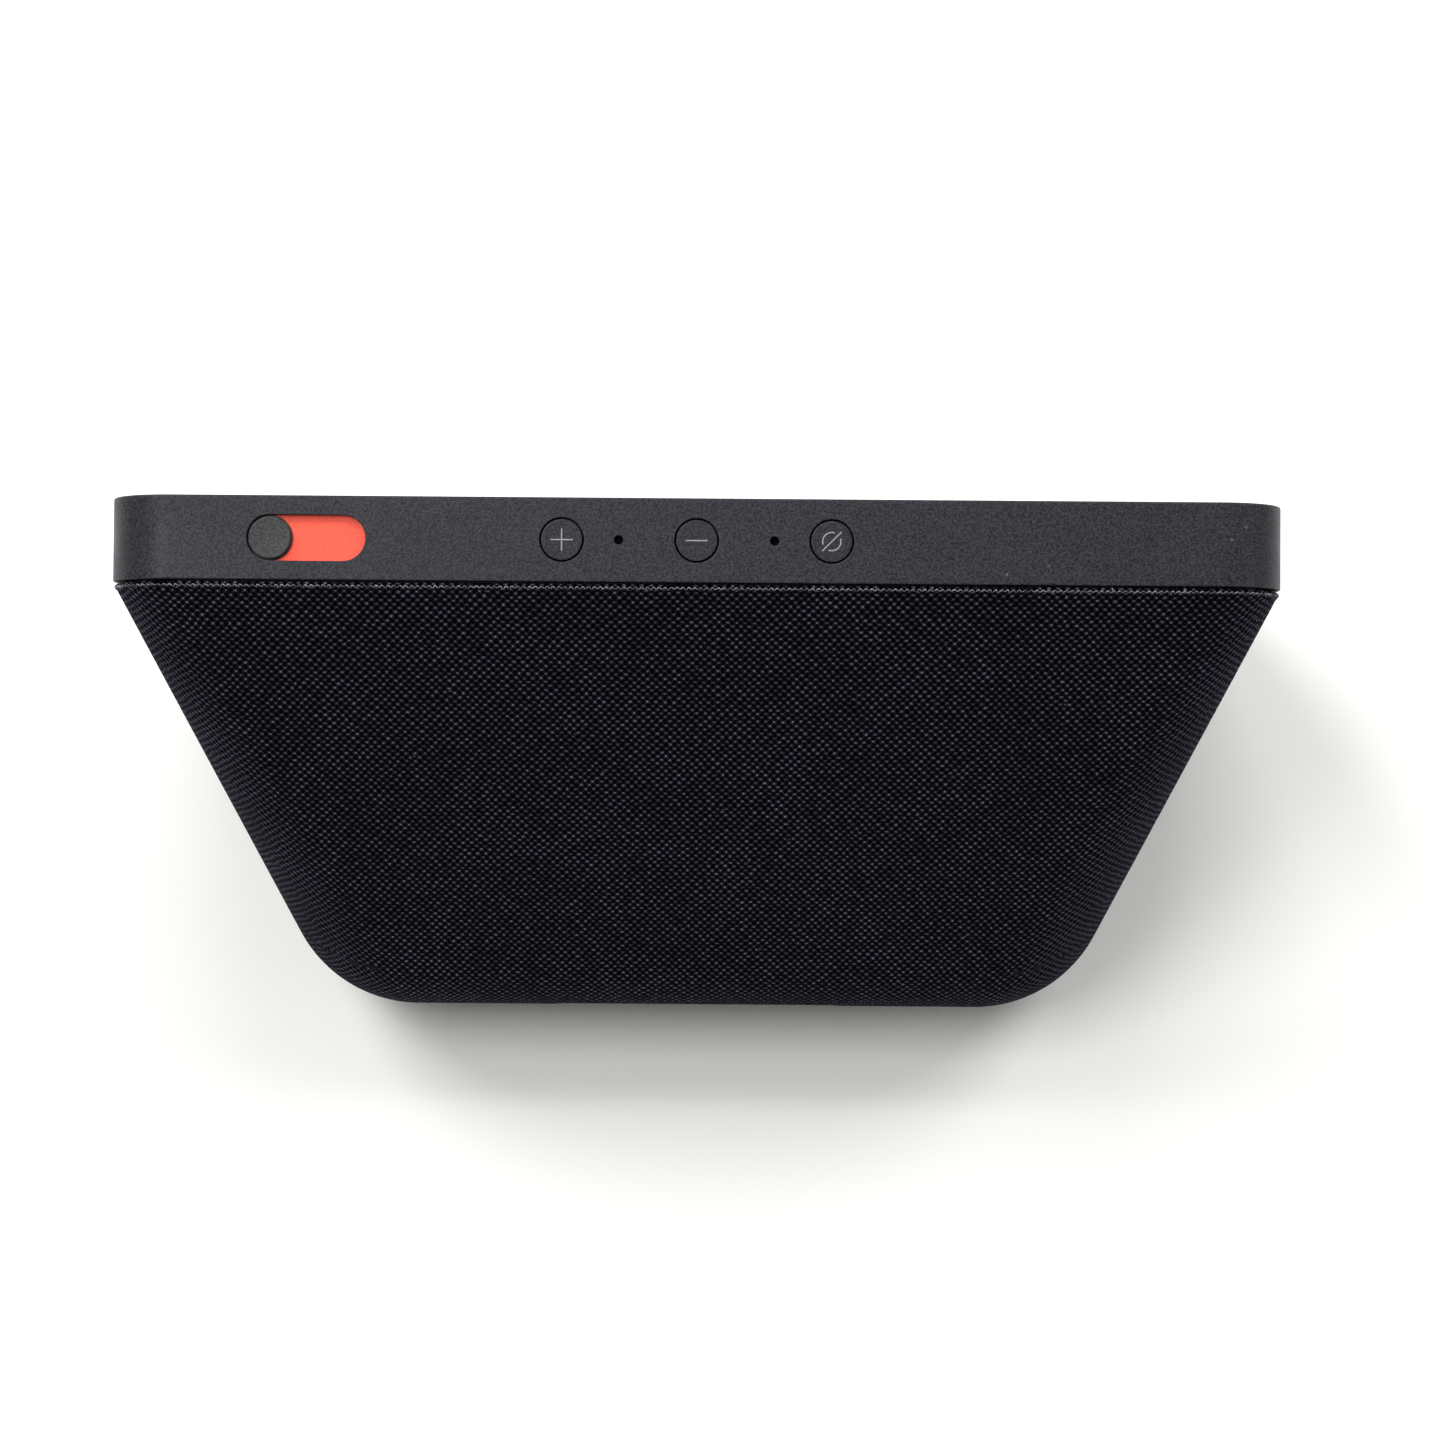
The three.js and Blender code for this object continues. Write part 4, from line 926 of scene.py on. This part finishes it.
def makeSlider():
    style = sliderStyle
    top = frameHeight + style["top"]
    r, e = style["radius"], style["edge"]
    flat = r - e
    profile = [(0, top - style["dish"])]
    for k in range(1, 25):  # a shallow dish for the fingertip
        share = k / 24
        profile.append((flat * share, top - style["dish"] * (1 - share ** 2)))
    for k in range(1, 7):
        a = math.radians(90 * k / 6)
        profile.append((flat + e * math.sin(a), top - e + e * math.cos(a)))
    low = localBox("shutter_knob")[0][2]
    collar = r + style["collar"]
    collarBottom = frameHeight - style["collarBottom"]
    profile += [(r, frameHeight - style["skirt"]), (collar, frameHeight - style["collarTop"]),
                (collar, collarBottom), (style["stem"], collarBottom), (style["stem"], low), (0, low)]
    knob = turnedSolid("slider_knob", profile, sliderPlace, steps=96)
    shadeSmooth(knob, 35)
    return finished(knob, "camera_shutter", [sliderPlastic], ["shutter_knob"])


makeSlider()
print("keys and slider made")


indicatorStyle = {"edge": 0.15}


def makeIndicator():  # the orange strip that the slider uncovers
    style = indicatorStyle
    low, high = localBox("shutter_indicator")
    r = (high[1] - low[1]) / 2
    half = (high[0] - low[0]) / 2 - r
    e = style["edge"]
    levels = [(low[2], 0), (high[2] - e, 0), (high[2] - e * 0.3, -e * 0.3), (high[2], -e)]
    strip = slotCutter(middleOf("shutter_indicator"), half, r, levels)
    strip.name = "slider_indicator"
    shadeSmooth(strip, 35)
    return finished(strip, "camera_shutter", [orangePlastic], ["shutter_indicator"])


makeIndicator()


# knit cover: cloth stretched over the wedge, folded in at the gap

coverStyle = {
    "corner": 11.0, "reach": 0.4, "swell": 0.45, "noseRadius": 26.0, "noseHalf": 53.4, "fold": 0.35,
    "turnIn": 2.2, "thickness": 0.7, "hem": 1.5, "lip": 0.6, "columns": 440, "step": 1.5, "noseSteps": 26,
    "portGap": 0.3, "portCorner": 2.0, "sampleReach": 118.0, "sampleStep": 1.5, "wrap": 60.0,
    "keptShare": 0.86,
}
wedgeSlope = math.radians(41.8)  # of the back face above the nose
coverLow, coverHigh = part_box("fabric_cover")
coverStart = localBox("fabric_cover")[0][1] - coverStyle["reach"]
coverTop = localBox("fabric_cover")[1][2]


def coverOutline(steps):  # the wedge's front edge, in (x, v) millimetres
    half = coverHigh.x / mm + coverStyle["swell"]
    bottom = ((coverLow.z - place(0, coverStart, 0).z) / mm) / math.cos(lean)
    corner = coverStyle["corner"]
    loop = []
    for sx, sv, start in ((1, 1, 0), (-1, 1, 90), (-1, -1, 180), (1, -1, 270)):
        v0 = coverTop + coverStyle["swell"] - corner if sv > 0 else bottom + corner
        for k in range(steps + 1):
            a = math.radians(start + 90 * k / steps)
            loop.append((sx * (half - corner) + corner * math.cos(a), v0 + corner * math.sin(a)))
    return loop


def wedgeEdges():  # the taut shape's edges, each as two points in (x, w, v) millimetres
    style = coverStyle
    r = style["noseRadius"]
    noseY, noseZ = coverHigh.y / mm - r, coverLow.z / mm + r
    bm = bmesh.new()
    for x, v in coverOutline(24):
        bm.verts.new((x, coverStart, v))
    noseW = noseY * math.cos(lean) - noseZ * math.sin(lean) - originW / mm
    noseV = noseY * math.sin(lean) + noseZ * math.cos(lean) - originV / mm
    turns, rows = 144, 72
    for side in (1, -1):
        for i in range(rows + 1):
            across = math.pi / 2 * i / rows
            for k in range(turns if i < rows else 1):
                a = 2 * math.pi * k / turns
                bm.verts.new((side * (style["noseHalf"] + r * math.sin(across)),
                              noseW + r * math.cos(across) * math.cos(a),
                              noseV + r * math.cos(across) * math.sin(a)))
    bmesh.ops.convex_hull(bm, input=bm.verts)
    edges = [(tuple(e.verts[0].co), tuple(e.verts[1].co)) for e in bm.edges if e.link_faces]
    bm.free()
    return np.array(edges), noseW, noseV


def crossing(edges, point, normal):  # where a plane cuts the taut shape's edges
    a, b = edges[:, 0], edges[:, 1]
    da, db = (a - point) @ normal, (b - point) @ normal
    hit = (da > 0) != (db > 0)
    t = (da / (da - db + 1e-12))[hit][:, None]
    return a[hit] * (1 - t) + b[hit] * t


def evenLoop(flat, count):  # count points evenly along a convex loop, from its top middle
    middle = (flat.max(0) + flat.min(0)) / 2
    turn = np.arctan2(flat[:, 0], flat[:, 1] - middle[1]) % (2 * math.pi)
    ring = flat[np.argsort(turn)]
    ring = ring[np.abs(ring[:, 0]) > 1e-3]
    top = [[0.0, flat[:, 1].max()]]
    ring = np.vstack([top, ring, top])
    along = np.concatenate([[0], np.cumsum(np.linalg.norm(np.diff(ring, axis=0), axis=1))])
    at = np.linspace(0, along[-1], count + 1)[:-1]
    return np.stack([np.interp(at, along, ring[:, k]) for k in (0, 1)], axis=1)


def movedIn(loop, inset):  # a loop moved in along its own normals
    ahead = np.roll(loop, -1, axis=0) - np.roll(loop, 1, axis=0)
    side = np.stack([ahead[:, 1], -ahead[:, 0]], axis=1)
    side /= np.linalg.norm(side, axis=1)[:, None]
    centre = loop.mean(0)
    inward = np.where(np.sum(side * (centre - loop), axis=1)[:, None] > 0, side, -side)
    return loop + inward * inset


def sectionAt(edges, w):  # the taut shape's outline at one w, as evenly spaced (x, v) points
    cut = crossing(edges, np.array([0, w, 0]), np.array([0, 1.0, 0]))
    return evenLoop(cut[:, [0, 2]], coverStyle["columns"])


def coverRings(edges, noseW):
    style = coverStyle
    rings = []
    fold = style["fold"]
    hair = 0.01  # just past the front edge, where a plane meets the shape
    for inset in (style["turnIn"] + style["hem"], style["turnIn"], fold + style["lip"]):
        loop = sectionAt(edges, coverStart + hair)
        rings.append((movedIn(loop, inset), coverStart))
    for k in range(6):
        a = math.radians(90 * k / 5)
        w = coverStart + fold * (1 - math.cos(a))
        loop = sectionAt(edges, w + hair)
        rings.append((movedIn(loop, fold * (1 - math.sin(a))), w))
    tangent = noseW + style["noseRadius"] * math.cos(wedgeSlope)
    begin, span = coverStart + fold, tangent - coverStart - fold
    flatSteps = round(span / (style["step"] * math.sin(wedgeSlope)))
    stations = [begin + span * k / flatSteps for k in range(1, flatSteps)]
    first = math.acos(min(1, (tangent - noseW) / style["noseRadius"]))
    for k in range(style["noseSteps"]):
        a = first * (1 - k / style["noseSteps"])
        stations.append(noseW + style["noseRadius"] * math.cos(a))
    for w in stations:
        rings.append((sectionAt(edges, w), w))
    return rings


def addRow(row, points, tangents, lengths):
    row = np.vstack([row[:1] * [0, 1, 1], row])  # the row is level across the middle
    step = np.linalg.norm(np.diff(row, axis=0), axis=1)
    row = row[np.concatenate([[True], step > 1e-4])]
    if len(row) < 3:
        return
    along = np.concatenate([[0], np.cumsum(np.linalg.norm(np.diff(row, axis=0), axis=1))])
    at = np.arange(0.0, along[-1], 1.0)
    even = np.stack([np.interp(at, along, row[:, k]) for k in range(3)], axis=1)
    ahead = np.gradient(even, axis=0)
    ahead /= np.linalg.norm(ahead, axis=1)[:, None] + 1e-9
    points.append(even)
    tangents.append(ahead)
    lengths.append(at)


# points on the taut shape, each with its distance round from the middle
def clothSamples(edges, nose, down, out):
    points, tangents, lengths = [], [], []
    for s in np.arange(-coverStyle["sampleReach"], 0.01, coverStyle["sampleStep"]):
        row = crossing(edges, nose + down * s, down)
        row = row[(row[:, 0] > -0.01) & (row[:, 1] > coverStart + 0.005)]
        if len(row) > 3:
            depth = (row - nose) @ out
            middle = (depth.max() + depth.min()) / 2
            row = row[np.argsort(np.arctan2(row[:, 0], depth - middle))]
            addRow(row, points, tangents, lengths)
    for phi in np.arange(0, 180, 3.0):
        a = math.radians(phi)
        ray = out * math.cos(a) + down * math.sin(a)
        row = crossing(edges, nose, -out * math.sin(a) + down * math.cos(a))
        reach = (row - nose) @ ray
        row = row[(row[:, 0] > -0.01) & (reach > 0.2)]
        reach = (row - nose) @ ray
        row = row[np.argsort(np.arctan2(row[:, 0], reach))]
        addRow(row, points, tangents, lengths)
    return np.vstack(points), np.vstack(tangents), np.concatenate(lengths)


# cloth coordinates in metres, the way that the knit is pulled round the wedge
def layCloth(obj, edges, noseW, noseV):
    nose = np.array([0, noseW, noseV])
    out = np.array([0, math.cos(wedgeSlope), math.sin(wedgeSlope)])
    down = np.array([0, math.sin(wedgeSlope), -math.cos(wedgeSlope)])
    below = np.array([0, -math.sin(lean), -math.cos(lean)])
    points, tangents, lengths = clothSamples(edges, nose, down, out)
    tree = KDTree(len(points))
    for i, p in enumerate(points):
        tree.insert(p, i)
    tree.balance()
    mesh = obj.data
    co = np.zeros(len(mesh.vertices) * 3)
    mesh.vertices.foreach_get("co", co)
    co = co.reshape(-1, 3) / mm
    local = np.stack([co[:, 0], co @ np.array(axisW) - originW / mm, co @ np.array(axisV) - originV / mm],
                     axis=1)
    side = np.sign(local[:, 0])
    folded = local.copy()
    folded[:, 0] = np.abs(folded[:, 0])
    nearest = [tree.find(p)[1] for p in folded]
    q, t = points[nearest], tangents[nearest]
    roundLength = lengths[nearest] + np.sum((folded - q) * t, axis=1)
    offset = local - nose
    s, n = offset @ down, offset @ out
    angle = np.arctan2(s, n) % (2 * math.pi)
    reach = np.hypot(s, n)
    loopVerts = np.zeros(len(mesh.loops), int)
    mesh.loops.foreach_get("vertex_index", loopVerts)
    starts = np.array([p.loop_start for p in mesh.polygons])
    totals = np.array([p.loop_total for p in mesh.polygons])
    faceOf = np.repeat(np.arange(len(starts)), totals)
    order = np.concatenate([np.arange(a, a + b) for a, b in zip(starts, totals)])
    faceS = np.add.reduceat(s[loopVerts[order]], np.cumsum(totals) - totals) / totals
    normals = np.zeros(len(mesh.polygons) * 3)
    mesh.polygons.foreach_get("normal", normals)
    normals = normals.reshape(-1, 3)
    flatBelow = np.abs(normals[:, 2]) > 0.97
    height = np.add.reduceat(offset[loopVerts[order]] @ below, np.cumsum(totals) - totals) / totals
    flatBelow &= height > coverStyle["noseRadius"] * 0.9
    uv = np.zeros((len(mesh.loops), 2))
    vert = loopVerts[order]
    isBelow, isNose = flatBelow[faceOf], faceS[faceOf] > 0
    uv[order, 0] = np.where(isBelow, local[vert, 0], side[vert] * roundLength[vert])
    quarter = wedgeSlope + math.pi / 2 - lean
    spot = co[vert] - np.array([0, coverHigh.y / mm - coverStyle["noseRadius"], 0])
    bottomRow = coverStyle["noseRadius"] * quarter - spot[:, 1]
    uv[order, 1] = np.where(isBelow, bottomRow, np.where(isNose, reach[vert] * angle[vert], s[vert]))
    layer = mesh.uv_layers.new(name="cloth")
    layer.data.foreach_set("uv", (uv * mm).ravel())


def openPort(cover):  # cuts the cloth along the port opening's rounded outline
    low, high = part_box("port_panel")
    gap = coverStyle["portGap"] * mm
    corner = coverStyle["portCorner"] * mm
    middle = Vector((0, 0, (low.z + high.z) / 2))
    halfX, halfZ = high.x + gap, (high.z - low.z) / 2 + gap
    planes = []
    for turn in range(0, 360, 15):
        a = math.radians(turn)
        away = Vector((math.cos(a), 0, math.sin(a)))
        at = Vector((math.copysign(halfX - corner, away.x), 0, math.copysign(halfZ - corner, away.z)))
        planes.append((middle + at + away * corner, away))
    bm = bmesh.new()
    bm.from_mesh(cover.data)
    back = low.y - 0.004

    def near(face):
        c = face.calc_center_median()
        return c.y > back and abs(c.x) < halfX + 0.004 and abs(c.z - middle.z) < halfZ + 0.004

    for at, away in planes:
        faces = [f for f in bm.faces if near(f)]
        parts = list({e for f in faces for e in f.edges}) + list({v for f in faces for v in f.verts}) + faces
        bmesh.ops.bisect_plane(bm, geom=parts, plane_co=at, plane_no=away, dist=1e-7)
    inside = [f for f in bm.faces if near(f)
              and all((f.calc_center_median() - at).dot(away) < 0 for at, away in planes)]
    bmesh.ops.delete(bm, geom=inside, context="FACES")
    bm.to_mesh(cover.data)
    bm.free()


def makeCover():
    edges, noseW, noseV = wedgeEdges()
    rings = coverRings(edges, noseW)
    count = coverStyle["columns"]
    verts = []
    for loop, w in rings:
        verts += [place(x, w, v) for x, v in loop]
    faces = loftFaces(len(rings), count)
    base = (len(rings) - 1) * count
    for turn in (1, -1):
        for k in range(count // 4):
            a, b = base + (turn * k) % count, base + (turn * (k + 1)) % count
            c = base + (count // 2 - turn * (k + 1)) % count
            d = base + (count // 2 - turn * k) % count
            faces.append((a, b, c, d) if b != c else (a, b, d))
    cover = newObject("knit_cover", verts, faces)
    bm = bmesh.new()
    bm.from_mesh(cover.data)
    bmesh.ops.recalc_face_normals(bm, faces=bm.faces)
    heart = place(0, 40, 50)  # a point well inside the wedge
    probe = bm.faces[len(bm.faces) // 2]
    if probe.normal.dot(probe.calc_center_median() - heart) < 0:
        bmesh.ops.reverse_faces(bm, faces=bm.faces)
    bm.to_mesh(cover.data)
    bm.free()
    layCloth(cover, edges, noseW, noseV)
    openPort(cover)
    thick = cover.modifiers.new("cloth", "SOLIDIFY")
    thick.thickness, thick.offset = coverStyle["thickness"] * mm, -1
    plainMesh(cover)
    shadeSmooth(cover, 60)
    finished(cover, "body", [knitCloth], ["fabric_cover"])
    return rings


clothRings = makeCover()


# loops of yarn along the cloth's folded edge

loopStyle = {"pitch": 1.0, "height": 0.6, "yarnRadius": 0.1, "proud": 0.12, "roundSteps": 3, "yarnSides": 5,
             "seed": 7}


def edgeLoopTree():
    tree = bpy.data.node_groups.new("edgeLoops", "GeometryNodeTree")
    tree.interface.new_socket(name="Path", in_out="INPUT", socket_type="NodeSocketGeometry")
    for title in ("Pitch", "Height", "Yarn Radius"):
        tree.interface.new_socket(name=title, in_out="INPUT", socket_type="NodeSocketFloat")
    tree.interface.new_socket(name="Yarn", in_out="INPUT", socket_type="NodeSocketMaterial")
    tree.interface.new_socket(name="Loops", in_out="OUTPUT", socket_type="NodeSocketGeometry")
    inside, outside = tree.nodes.new("NodeGroupInput"), tree.nodes.new("NodeGroupOutput")
    path = add(tree, "GeometryNodeMeshToCurve", {"Mesh": inside.outputs["Path"]})
    half = maths(tree, "DIVIDE", inside.outputs["Pitch"], 2.0)
    even = add(tree, "GeometryNodeResampleCurve", {"Curve": path.outputs[0], "Length": half}, mode="LENGTH")
    down = add(tree, "GeometryNodeInputNamedAttribute", {"Name": "down"}, data_type="FLOAT_VECTOR")
    index = add(tree, "GeometryNodeInputIndex").outputs[0]
    uneven = add(tree, "FunctionNodeRandomValue", {2: 0.75, 3: 1.15, "Seed": loopStyle["seed"]},
                 data_type="FLOAT")
    reach = maths(tree, "MULTIPLY", maths(tree, "MODULO", index, 2.0), inside.outputs["Height"])
    reach = maths(tree, "MULTIPLY", reach, uneven.outputs[1])
    offset = add(tree, "ShaderNodeVectorMath", {0: down.outputs[0], "Scale": reach}, operation="SCALE")
    moved = add(tree, "GeometryNodeSetPosition", {"Geometry": even.outputs[0], "Offset": offset.outputs[0]})
    rounded = add(tree, "GeometryNodeCurveSplineType", {"Curve": moved.outputs[0]},
                  spline_type="CATMULL_ROM")
    fine = add(tree, "GeometryNodeSetSplineResolution",
               {0: rounded.outputs[0], "Resolution": loopStyle["roundSteps"]})
    section = add(tree, "GeometryNodeCurvePrimitiveCircle",
                  {"Resolution": loopStyle["yarnSides"], "Radius": inside.outputs["Yarn Radius"]})
    tube = add(tree, "GeometryNodeCurveToMesh",
               {"Curve": fine.outputs[0], "Profile Curve": section.outputs[0]})
    whole = add(tree, "GeometryNodeRealizeInstances", {"Geometry": tube.outputs[0]})
    painted = add(tree, "GeometryNodeSetMaterial",
                  {"Geometry": whole.outputs[0], "Material": inside.outputs["Yarn"]})
    tree.links.new(painted.outputs[0], outside.inputs[0])
    return tree


def makeEdgeLoops(rings):
    foldEnd = coverStart + coverStyle["fold"] - 0.01
    (edge, edgeW), (beyond, beyondW) = [(loop, w) for loop, w in rings if w > foldEnd][:2]
    count = len(edge)
    start = count // 2  # the path begins and ends at the bottom
    outer = np.roll(movedIn(edge, -loopStyle["proud"]), -start, axis=0)
    here = [place(x, edgeW, v) for x, v in outer]
    after = [place(x, beyondW, v) for x, v in np.roll(beyond, -start, axis=0)]
    mesh = bpy.data.meshes.new("edge_loops")
    mesh.from_pydata(here, [(k, (k + 1) % count) for k in range(count)], [])
    down = mesh.attributes.new("down", "FLOAT_VECTOR", "POINT")
    for k in range(count):
        down.data[k].vector = (after[k] - here[k]).normalized()
    loops = bpy.data.objects.new("edge_loops", mesh)
    scene.collection.objects.link(loops)
    style = loopStyle
    runNodes(loops, edgeLoopTree(), {
        "Pitch": style["pitch"] * mm, "Height": style["height"] * mm,
        "Yarn Radius": style["yarnRadius"] * mm, "Yarn": litEdgeYarn})
    shadeSmooth(loops, 60)
    finished(loops, "body", [litEdgeYarn])
    print("edge loops made,", len(loops.data.polygons), "faces")


makeEdgeLoops(clothRings)


# cover glass: a pane with softened edges, black behind its border

glassStyle = {"inset": 1.2, "edge": 0.35, "backEdge": 0.1, "window": 1.4, "windowCorner": 1.0,
              "cameraWindow": 2.1, "sensorWindow": 1.0}


def boxLoop(halfX, lowV, highV, corner, steps=8):
    loop = []
    for sx, sv, start in ((1, 1, 0), (-1, 1, 90), (-1, -1, 180), (1, -1, 270)):
        x0 = sx * (halfX - corner)
        v0 = highV - corner if sv > 0 else lowV + corner
        for k in range(steps + 1):
            a = math.radians(start + 90 * k / steps)
            loop.append((x0 + corner * math.cos(a), v0 + corner * math.sin(a)))
    return loop


def ringLoop(x0, v0, radius, steps=28):
    turns = [2 * math.pi * k / steps for k in range(steps)]
    return [(x0 + radius * math.cos(a), v0 + radius * math.sin(a)) for a in turns]


def makePane():
    style = glassStyle
    paneLow, paneHigh = localBox("cover_glass")
    front, back = paneLow[1], paneHigh[1]
    profile = []
    for k in range(6):
        a = math.radians(90 * k / 5)
        profile.append((style["inset"] + style["edge"] * (1 - math.sin(a)),
                        front + style["edge"] * (1 - math.cos(a))))
    profile += [(style["inset"], back - style["backEdge"]), (style["inset"] + style["backEdge"], back)]
    verts = [place(x, w, v) for inset, w in profile for x, v in roundedLoop(inset)]
    count = len(verts) // len(profile)
    faces = loftFaces(len(profile), count) + [tuple(range(count))]
    screenLow, screenHigh = localBox("display_panel")
    lensLow, lensHigh = localBox("camera_lens")
    sensorLow, sensorHigh = localBox("light_sensor")
    windows = [
        boxLoop(screenHigh[0] - style["window"], screenLow[2] + style["window"],
                screenHigh[2] - style["window"], style["windowCorner"]),
        ringLoop((lensLow[0] + lensHigh[0]) / 2, (lensLow[2] + lensHigh[2]) / 2, style["cameraWindow"]),
        ringLoop((sensorLow[0] + sensorHigh[0]) / 2, (sensorLow[2] + sensorHigh[2]) / 2,
                 style["sensorWindow"]),
    ]
    pane = newObject("glass_pane", verts, faces, outward=False)
    bm = bmesh.new()
    bm.from_mesh(pane.data)
    bm.verts.ensure_lookup_table()
    edge = [bm.verts[len(verts) - count + k] for k in range(count)]
    outline = [bm.edges.get((edge[k], edge[(k + 1) % count])) for k in range(count)]
    before = set(bm.faces)
    clear = []
    for window in windows:
        made = [bm.verts.new(place(x, back, v)) for x, v in window]
        outline += [bm.edges.new((made[k], made[(k + 1) % len(made)])) for k in range(len(made))]
        clear.append(made)
    bmesh.ops.triangle_fill(bm, use_beauty=True, use_dissolve=False, edges=outline, normal=axisW)
    for face in set(bm.faces) - before:
        face.material_index = 1
    for made in clear:
        bm.faces.new(made)
    bmesh.ops.recalc_face_normals(bm, faces=bm.faces)
    bm.to_mesh(pane.data)
    bm.free()
    shadeSmooth(pane, 40)
    return finished(pane, "body", [paneGlass, borderInk], ["cover_glass"])


makePane()
print("cover glass made")


# rubber foot: a soft-edged pad with a moulded groove round it and treads across it

footStyle = {"edge": 0.55, "topEdge": 0.2, "groove": (2.4, 2.7, 3.5, 3.8), "grooveDepth": 0.4,
             "panel": (6.2, 6.6), "panelDepth": 0.5, "points": 240, "treads": 11, "treadWidth": 1.1,
             "treadReach": 0.45, "treadInset": 0.6, "treadClear": 2.0, "treadEnds": 14.0, "taper": 0.5,
             "taperShare": 0.55}


def footOutline():
    points = np.array([(p.x / mm, p.y / mm) for p in nodePoints("rubber_foot")])
    middle = (points.max(0) + points.min(0)) / 2
    turns = np.arctan2(points[:, 0], points[:, 1] - middle[1]) % (2 * math.pi)
    ring = points[np.argsort(turns)]
    ring = np.vstack([ring, ring[:1]])
    along = np.concatenate([[0], np.cumsum(np.linalg.norm(np.diff(ring, axis=0), axis=1))])
    at = np.linspace(0, along[-1], footStyle["points"] + 1)[:-1]
    return np.stack([np.interp(at, along, ring[:, k]) for k in (0, 1)], axis=1)


def treadTree():
    tree = bpy.data.node_groups.new("footTreads", "GeometryNodeTree")
    tree.interface.new_socket(name="Section", in_out="INPUT", socket_type="NodeSocketGeometry")
    tree.interface.new_socket(name="Count", in_out="INPUT", socket_type="NodeSocketInt")
    tree.interface.new_socket(name="Step", in_out="INPUT", socket_type="NodeSocketFloat")
    tree.interface.new_socket(name="Rubber", in_out="INPUT", socket_type="NodeSocketMaterial")
    tree.interface.new_socket(name="Treads", in_out="OUTPUT", socket_type="NodeSocketGeometry")
    inside, outside = tree.nodes.new("NodeGroupInput"), tree.nodes.new("NodeGroupOutput")
    step = add(tree, "ShaderNodeCombineXYZ", {0: inside.outputs["Step"]})
    line = add(tree, "GeometryNodeMeshLine", {"Count": inside.outputs["Count"], "Offset": step.outputs[0]})
    copies = add(tree, "GeometryNodeInstanceOnPoints",
                 {"Points": line.outputs[0], "Instance": inside.outputs["Section"]})
    whole = add(tree, "GeometryNodeRealizeInstances", {"Geometry": copies.outputs[0]})
    painted = add(tree, "GeometryNodeSetMaterial",
                  {"Geometry": whole.outputs[0], "Material": inside.outputs["Rubber"]})
    tree.links.new(painted.outputs[0], outside.inputs[0])
    return tree


def makeFoot():
    style = footStyle
    outline = footOutline()
    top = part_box("rubber_foot")[1].z / mm
    a, b, c, d = style["groove"]
    levels = [(style["topEdge"], top), (0, top - style["topEdge"])]
    for k in range(7):
        turn = math.radians(90 * k / 6)
        levels.append((style["edge"] * (1 - math.cos(turn)), style["edge"] * (1 - math.sin(turn))))
    levels += [(a, 0), (b, style["grooveDepth"]), (c, style["grooveDepth"]), (d, 0), (style["panel"][0], 0),
               (style["panel"][1], style["panelDepth"])]
    verts = [(x * mm, y * mm, z * mm) for inset, z in levels for x, y in movedIn(outline, inset)]
    count = style["points"]
    faces = loftFaces(len(levels), count)
    faces += [tuple(range(count)), tuple(range((len(levels) - 1) * count, len(levels) * count))[::-1]]
    foot = newObject("foot_pad", verts, faces)
    shadeSmooth(foot, 35)
    finished(foot, "body", [softRubber], ["rubber_foot"])

    panel = movedIn(outline, style["panel"][1] + style["treadInset"])
    reachY = (panel[:, 1].max() - panel[:, 1].min()) / 2 - style["treadClear"]
    middleY = (panel[:, 1].max() + panel[:, 1].min()) / 2
    span = 2 * (abs(panel[:, 0]).max() - style["treadEnds"])
    step = span / (style["treads"] - 1)
    section = []
    half = style["treadWidth"] / 2
    for k in range(5):
        turn = math.radians(180 * k / 4)
        section.append((half * math.cos(turn), style["panelDepth"] - style["treadReach"] * math.sin(turn)))
    section += [(-half, style["panelDepth"] + 0.1), (half, style["panelDepth"] + 0.1)]
    verts = []
    ends = (middleY - reachY, middleY + reachY)
    for y in (ends[0], ends[0] + style["taper"], ends[1] - style["taper"], ends[1]):
        squeeze = style["taperShare"] if y in ends else 1.0
        for x, z in section:
            level = style["panelDepth"] + (z - style["panelDepth"]) * squeeze
            verts.append(((x * squeeze - span / 2) * mm, y * mm, level * mm))
    count = len(section)
    faces = loftFaces(4, count) + [tuple(range(count)), tuple(range(3 * count, 4 * count))[::-1]]
    treads = newObject("foot_treads", verts, faces)
    runNodes(treads, treadTree(), {"Count": style["treads"], "Step": step * mm, "Rubber": softRubber})
    shadeSmooth(treads, 40)
    return finished(treads, "body", [softRubber])


makeFoot()
print("rubber foot made")


# finishes of the parts that stay as they are

slotFinishes = {
    "frame_plastic": framePlastic, "woven_fabric": knitCloth, "cover_glass": paneGlass,
    "display_black": unlitScreen, "accent_orange": orangePlastic, "housing_plastic": housingPlastic,
    "rubber": softRubber, "steel": plainSteel, "aluminium": rolledAluminium, "circuit_board": solderMask,
    "cone_paper": conePaper, "lens_glass": coatedLens,
}
partFinishes = {
    "display_ribbon": ribbonFilm, "shutter_blade": bladePlastic, "shutter_track": bladePlastic,
    "right_driver_magnet": darkFerrite, "left_driver_magnet": darkFerrite, "right_speaker_lead": leadSkin,
    "left_speaker_lead": leadSkin,
}

for name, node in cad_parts.items():
    for held in node.material_slots:
        finish = partFinishes.get(name) or slotFinishes.get(held.material.name.split(".")[0])
        if finish:
            held.material = finish
print("finishes given to", len(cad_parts), "parts")
